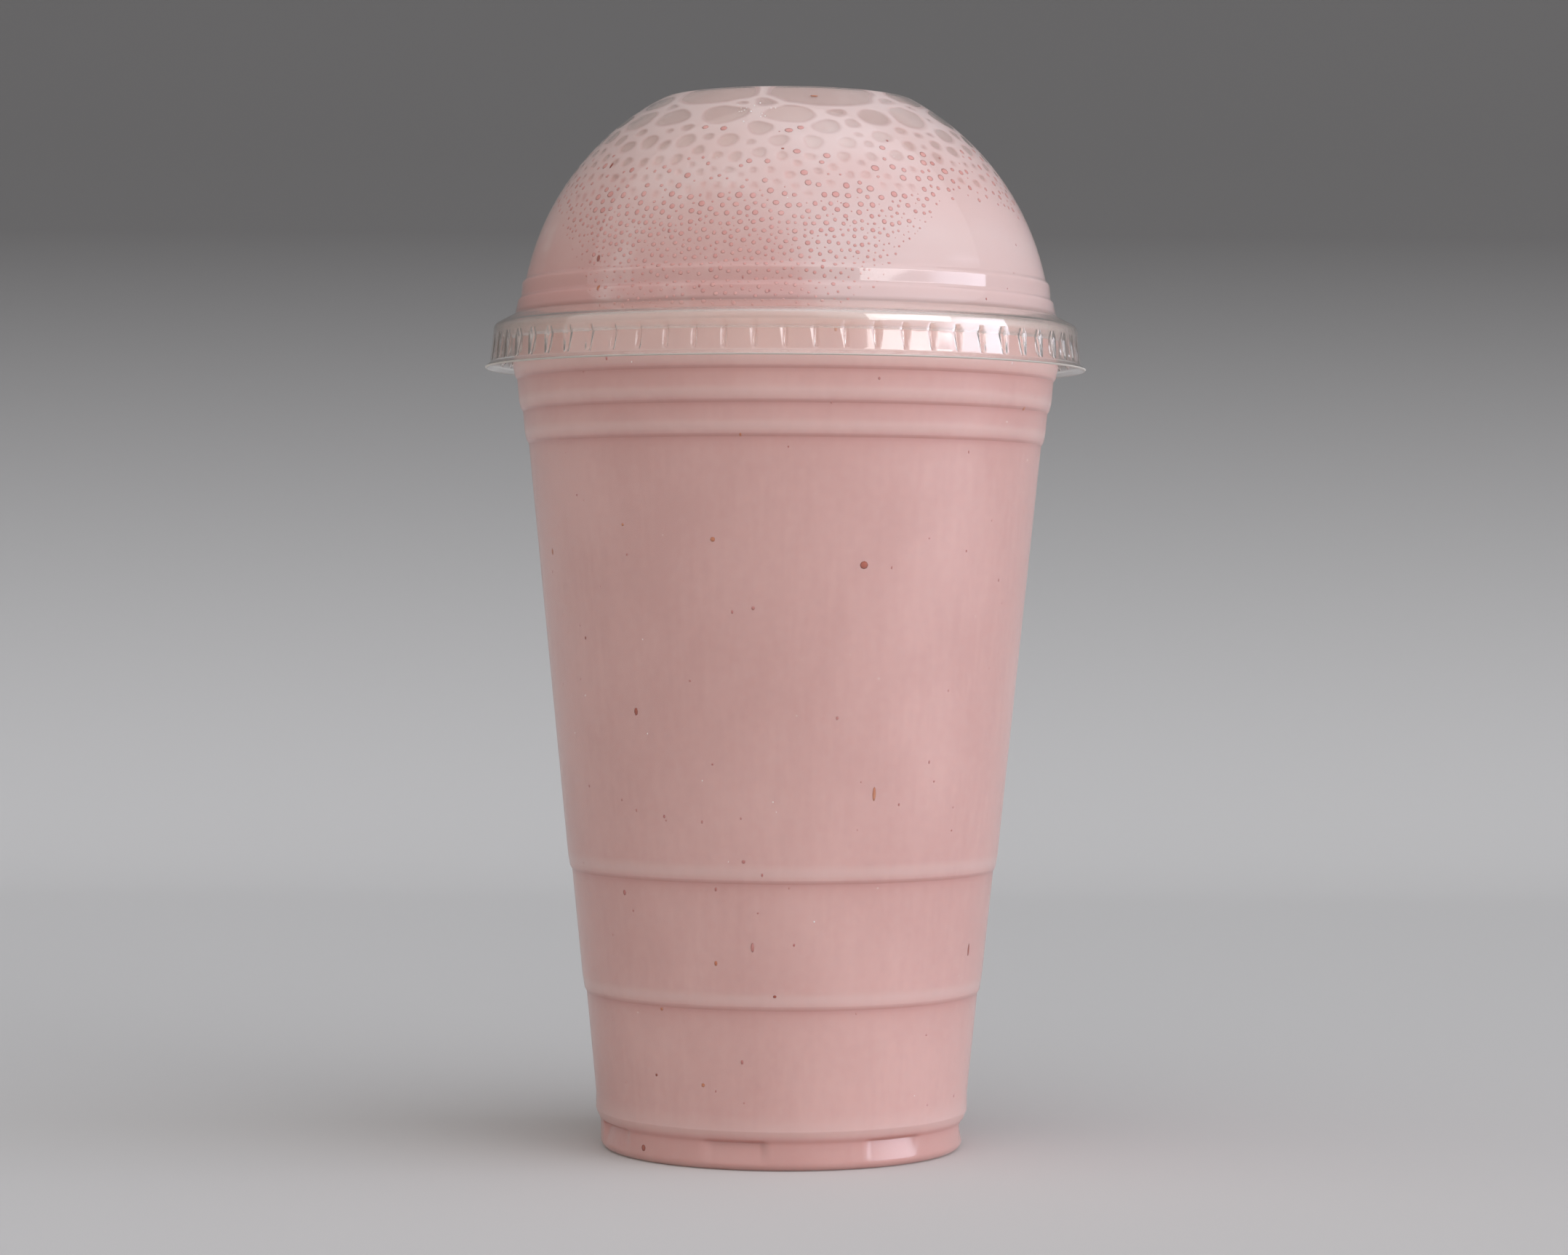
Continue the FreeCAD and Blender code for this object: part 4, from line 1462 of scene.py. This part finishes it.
@dataclass
class Flecks:
    """Flecks of fruit in the drink and the froth: some listed one by one, fainter ones by seed."""

    drink_wall: np.ndarray
    froth_wall: np.ndarray
    seed: int = 23
    scattered: tuple[tuple[Bit, int, float], ...] = (
        (Bit.SEED, 8, 0.22),
        (Bit.PULP, 14, 0.24),
        (Bit.SHRED, 190, 0.14),
        # these beads are painted near white as small glints: painted highlights
        (Bit.BEAD, 70, 0.09),
    )
    by_hand: tuple[Fleck, ...] = (
        Fleck(Bit.SEED, 18, 99, 0.7, 0.65),
        Fleck(Bit.SEED, -38, 75, 0.38, 0.65),
        Fleck(Bit.PULP, -16, 103, 0.42, 0.4),
        Fleck(Bit.SHRED, -7, 92, 0.3, 0.3),
        Fleck(Bit.PULP, -68, 101, 0.45, 0.55),
        Fleck(Bit.PULP, 23, 62, 0.3, 1.2),
        Fleck(Bit.SEED, 64, 35, 0.35, 1.1),
        Fleck(Bit.SHRED, -8, 37, 0.28, 0.8),
        Fleck(Bit.SHRED, -10, 51, 0.3, 0.3),
        Fleck(Bit.SEED, -2, 29, 0.3, 0.25),
        Fleck(Bit.SHRED, -47, 45, 0.35, 0.45),
        Fleck(Bit.SEED, -48, 2.4, 0.5, 0.55),
        Fleck(Bit.SEED, 150, 88, 0.55, 0.6),
        Fleck(Bit.PULP, -140, 58, 0.4, 0.7),
        Fleck(Bit.SEED, -44, 148.5, 0.4, 0.6),
        Fleck(Bit.SEED, -52, 164.4, 0.3, 0.6),
        Fleck(Bit.PULP, 10.5, 175.8, 0.65, 0.25),
        Fleck(Bit.SEED, -1, 166, 0.28, 0.2),
        Fleck(Bit.SEED, 130, 156, 0.4, 0.4),
    )
    cluster: tuple[float, float] = (-10.5, 173.0)
    cluster_spread: tuple[float, float] = (3.8, 1.0)
    cluster_count: int = 15
    cluster_sizes: tuple[float, float] = (0.13, 0.2)
    cluster_top: float = 175.6

    def thrown(self) -> list[Fleck]:
        """The seeded flecks, thrown over the whole of the drink's side and the froth's."""
        rng = np.random.default_rng(self.seed)
        bits: list[Fleck] = []
        for kind, count, size in self.scattered:
            for _ in range(count):
                height = rng.uniform(8, 172) if kind is not Bit.SEED else rng.uniform(8, 118)
                wide = size * rng.uniform(0.7, 1.6)
                high = wide * rng.uniform(0.7, 1.8)
                bits.append(Fleck(kind, rng.uniform(-180, 180), height, wide, high))
        return bits

    def glints(self) -> list[Fleck]:
        """Tiny beads of air in a cluster under the crown, left of the front, painted near white as
        their glints: painted highlights.
        """
        rng = np.random.default_rng(self.seed + 1)
        spots = rng.normal(self.cluster, self.cluster_spread, (self.cluster_count, 2))
        sizes = rng.uniform(*self.cluster_sizes, self.cluster_count)
        return [
            Fleck(Bit.BEAD, float(a), float(min(z, self.cluster_top)), float(w), float(w))
            for (a, z), w in zip(spots, sizes)
        ]

    def build(self) -> None:
        """Builds one piece of each kind on the drink and one on the froth."""
        bits = [*self.by_hand, *self.thrown(), *self.glints()]
        level = float(self.froth_wall[:, 1].min())
        for kind in Bit:
            for slot, wall, above in (
                (Slot.DRINK, self.drink_wall, False),
                (Slot.FROTH, self.froth_wall, True),
            ):
                own = [b for b in bits if b.kind is kind and (b.height > level) == above]
                if own:
                    name = f"{kind.name.lower()}_in_{slot.value}"
                    Spots.on_wall(wall, own).build(name, kind.finish(), slot)


# ---------------------------------------------------------------- stage


def towards(azimuth: float, elevation: float) -> tuple[float, float, float]:
    """The unit vector from the cup towards an angle from the camera side and one above the table."""
    turn, rise = math.radians(FRONT + azimuth), math.radians(elevation)
    return math.cos(turn) * math.cos(rise), math.sin(turn) * math.cos(rise), math.sin(rise)


@dataclass(frozen=True)
class Glow:
    """A broad patch of sky that is brighter and has no edge: where it is, its reach, its light."""

    azimuth: float
    elevation: float
    reach: float
    gain: float
    colour: str = "#FFFFFF"


@dataclass
class Studio:
    """Pale table, grey wall, a window-like softbox from the right, a soft sky, and the camera."""

    floor: str = "#D0CECB"
    wall: str = "#6F6D6B"
    sky: float = 0.385
    glows: tuple[Glow, ...] = (
        Glow(54.0, 3.0, 32.0, 1.4, "#E6EDFF"),
        Glow(84.0, 1.0, 28.0, 4.7, "#E6EDFF"),
        Glow(102.0, 0.0, 26.0, 1.3, "#E6EDFF"),
        Glow(45.0, 58.0, 55.0, 0.9, "#EEF2FF"),
        Glow(-45.0, 22.0, 85.0, 0.35),
    )
    key_power: float = 1.4
    key_size: tuple[float, float] = (0.67, 0.173)
    key_at: tuple[float, float] = (49.0, 19.5)
    key_distance: float = 1.1
    aim: float = 0.14
    half_width: float = 7.0
    front: float = 1.5
    back: float = 0.75
    bend: float = 0.25
    top: float = 2.2
    camera_distance: float = 0.6683
    camera_height: float = 0.0977
    lens: float = 90.0
    pitch: float = -0.80
    roll: float = 0.31

    def build(self) -> None:
        """Builds the stage."""
        self.backdrop()
        self.lamps()
        self.camera()

    def backdrop(self) -> None:
        """A table and a wall, joined by a wide bend."""
        bend, flat = self.bend, self.back - self.bend
        path = [(-self.front, 0.0), (flat, 0.0)]
        for turn in np.linspace(0, math.pi / 2, 13)[1:]:
            path.append((flat + bend * math.sin(turn), bend - bend * math.cos(turn)))
        path.append((self.back, self.top))
        sides = (-self.half_width, self.half_width)
        points = np.array([(x, y, z) for y, z in path for x in sides]) / MM
        faces = [(2 * i, 2 * i + 1, 2 * i + 3, 2 * i + 2) for i in range(len(path) - 1)]
        sweep = bpy.data.objects.new("studio_sweep", mesh_from("studio_sweep", points, faces))
        sweep.data.materials.append(StudioPaper("Studio_paper", self.floor, self.wall).material())
        bpy.context.scene.collection.objects.link(sweep)

    def lamps(self) -> None:
        """A softbox for the crisp reflections, and a sky that fades from patch to patch."""
        scene = bpy.context.scene
        scene.world = scene.world or bpy.data.worlds.new("Studio")
        scene.world.use_nodes = True
        tree = scene.world.node_tree
        tree.nodes.clear()
        place_at = add_node(tree, "ShaderNodeTexCoord").outputs["Object"]
        inputs = {"Color": linear("#FFFFFF"), "Strength": self.sky}
        light = add_node(tree, "ShaderNodeBackground", inputs).outputs["Background"]
        for glow in self.glows:
            facing = add_node(
                tree,
                "ShaderNodeVectorMath",
                {0: place_at, 1: towards(glow.azimuth, glow.elevation)},
                operation="DOT_PRODUCT",
            ).outputs["Value"]
            edge = math.cos(math.radians(glow.reach))
            level = ranged(tree, facing, (edge, 1.0), (0.0, glow.gain), "SMOOTHERSTEP")
            inputs = {"Color": linear(glow.colour), "Strength": level}
            patch = add_node(tree, "ShaderNodeBackground", inputs).outputs["Background"]
            light = add_node(tree, "ShaderNodeAddShader", {0: light, 1: patch}).outputs["Shader"]
        add_node(tree, "ShaderNodeOutputWorld", {"Surface": light})
        self.softbox()
        scene.view_settings.view_transform = "Standard"

    def softbox(self) -> None:
        """A rectangular soft lamp that looks at the rim of the cup."""
        data = bpy.data.lights.new("key", "AREA")
        data.shape = "RECTANGLE"
        data.size, data.size_y = self.key_size
        data.energy = self.key_power
        lamp = bpy.data.objects.new("key", data)
        bpy.context.scene.collection.objects.link(lamp)
        away = Vector(towards(*self.key_at))
        lamp.location = Vector((0, 0, self.aim)) + away * self.key_distance
        lamp.rotation_euler = away.to_track_quat("Z", "Y").to_euler()

    def camera(self) -> None:
        """A short telephoto lens in front of the cup, a little above the middle of the whole."""
        data = bpy.data.cameras.new("camera")
        data.lens = self.lens
        data.sensor_width = 36.0
        data.clip_start = 0.01
        camera = bpy.data.objects.new("camera", data)
        bpy.context.scene.collection.objects.link(camera)
        camera.location = (0.0, -self.camera_distance, self.camera_height)
        level = Euler((math.radians(90 + self.pitch), 0, 0)).to_matrix()
        turned = level @ Matrix.Rotation(math.radians(self.roll), 3, "Z")
        camera.rotation_euler = turned.to_euler()
        bpy.context.scene.camera = camera


def main() -> None:
    """Builds every piece in order, then the studio."""
    logging.basicConfig(level=logging.INFO, format="%(message)s")
    cup = ClearCup()
    cup.build()
    drink = Drink(cup)
    drink.build()
    lid = DomeLid()
    lid.build()
    froth = Froth(lid)
    froth.build()
    Flecks(drink.wall(), froth.wall_outline()).build()
    Studio().build()


if __name__ == "__main__":
    main()
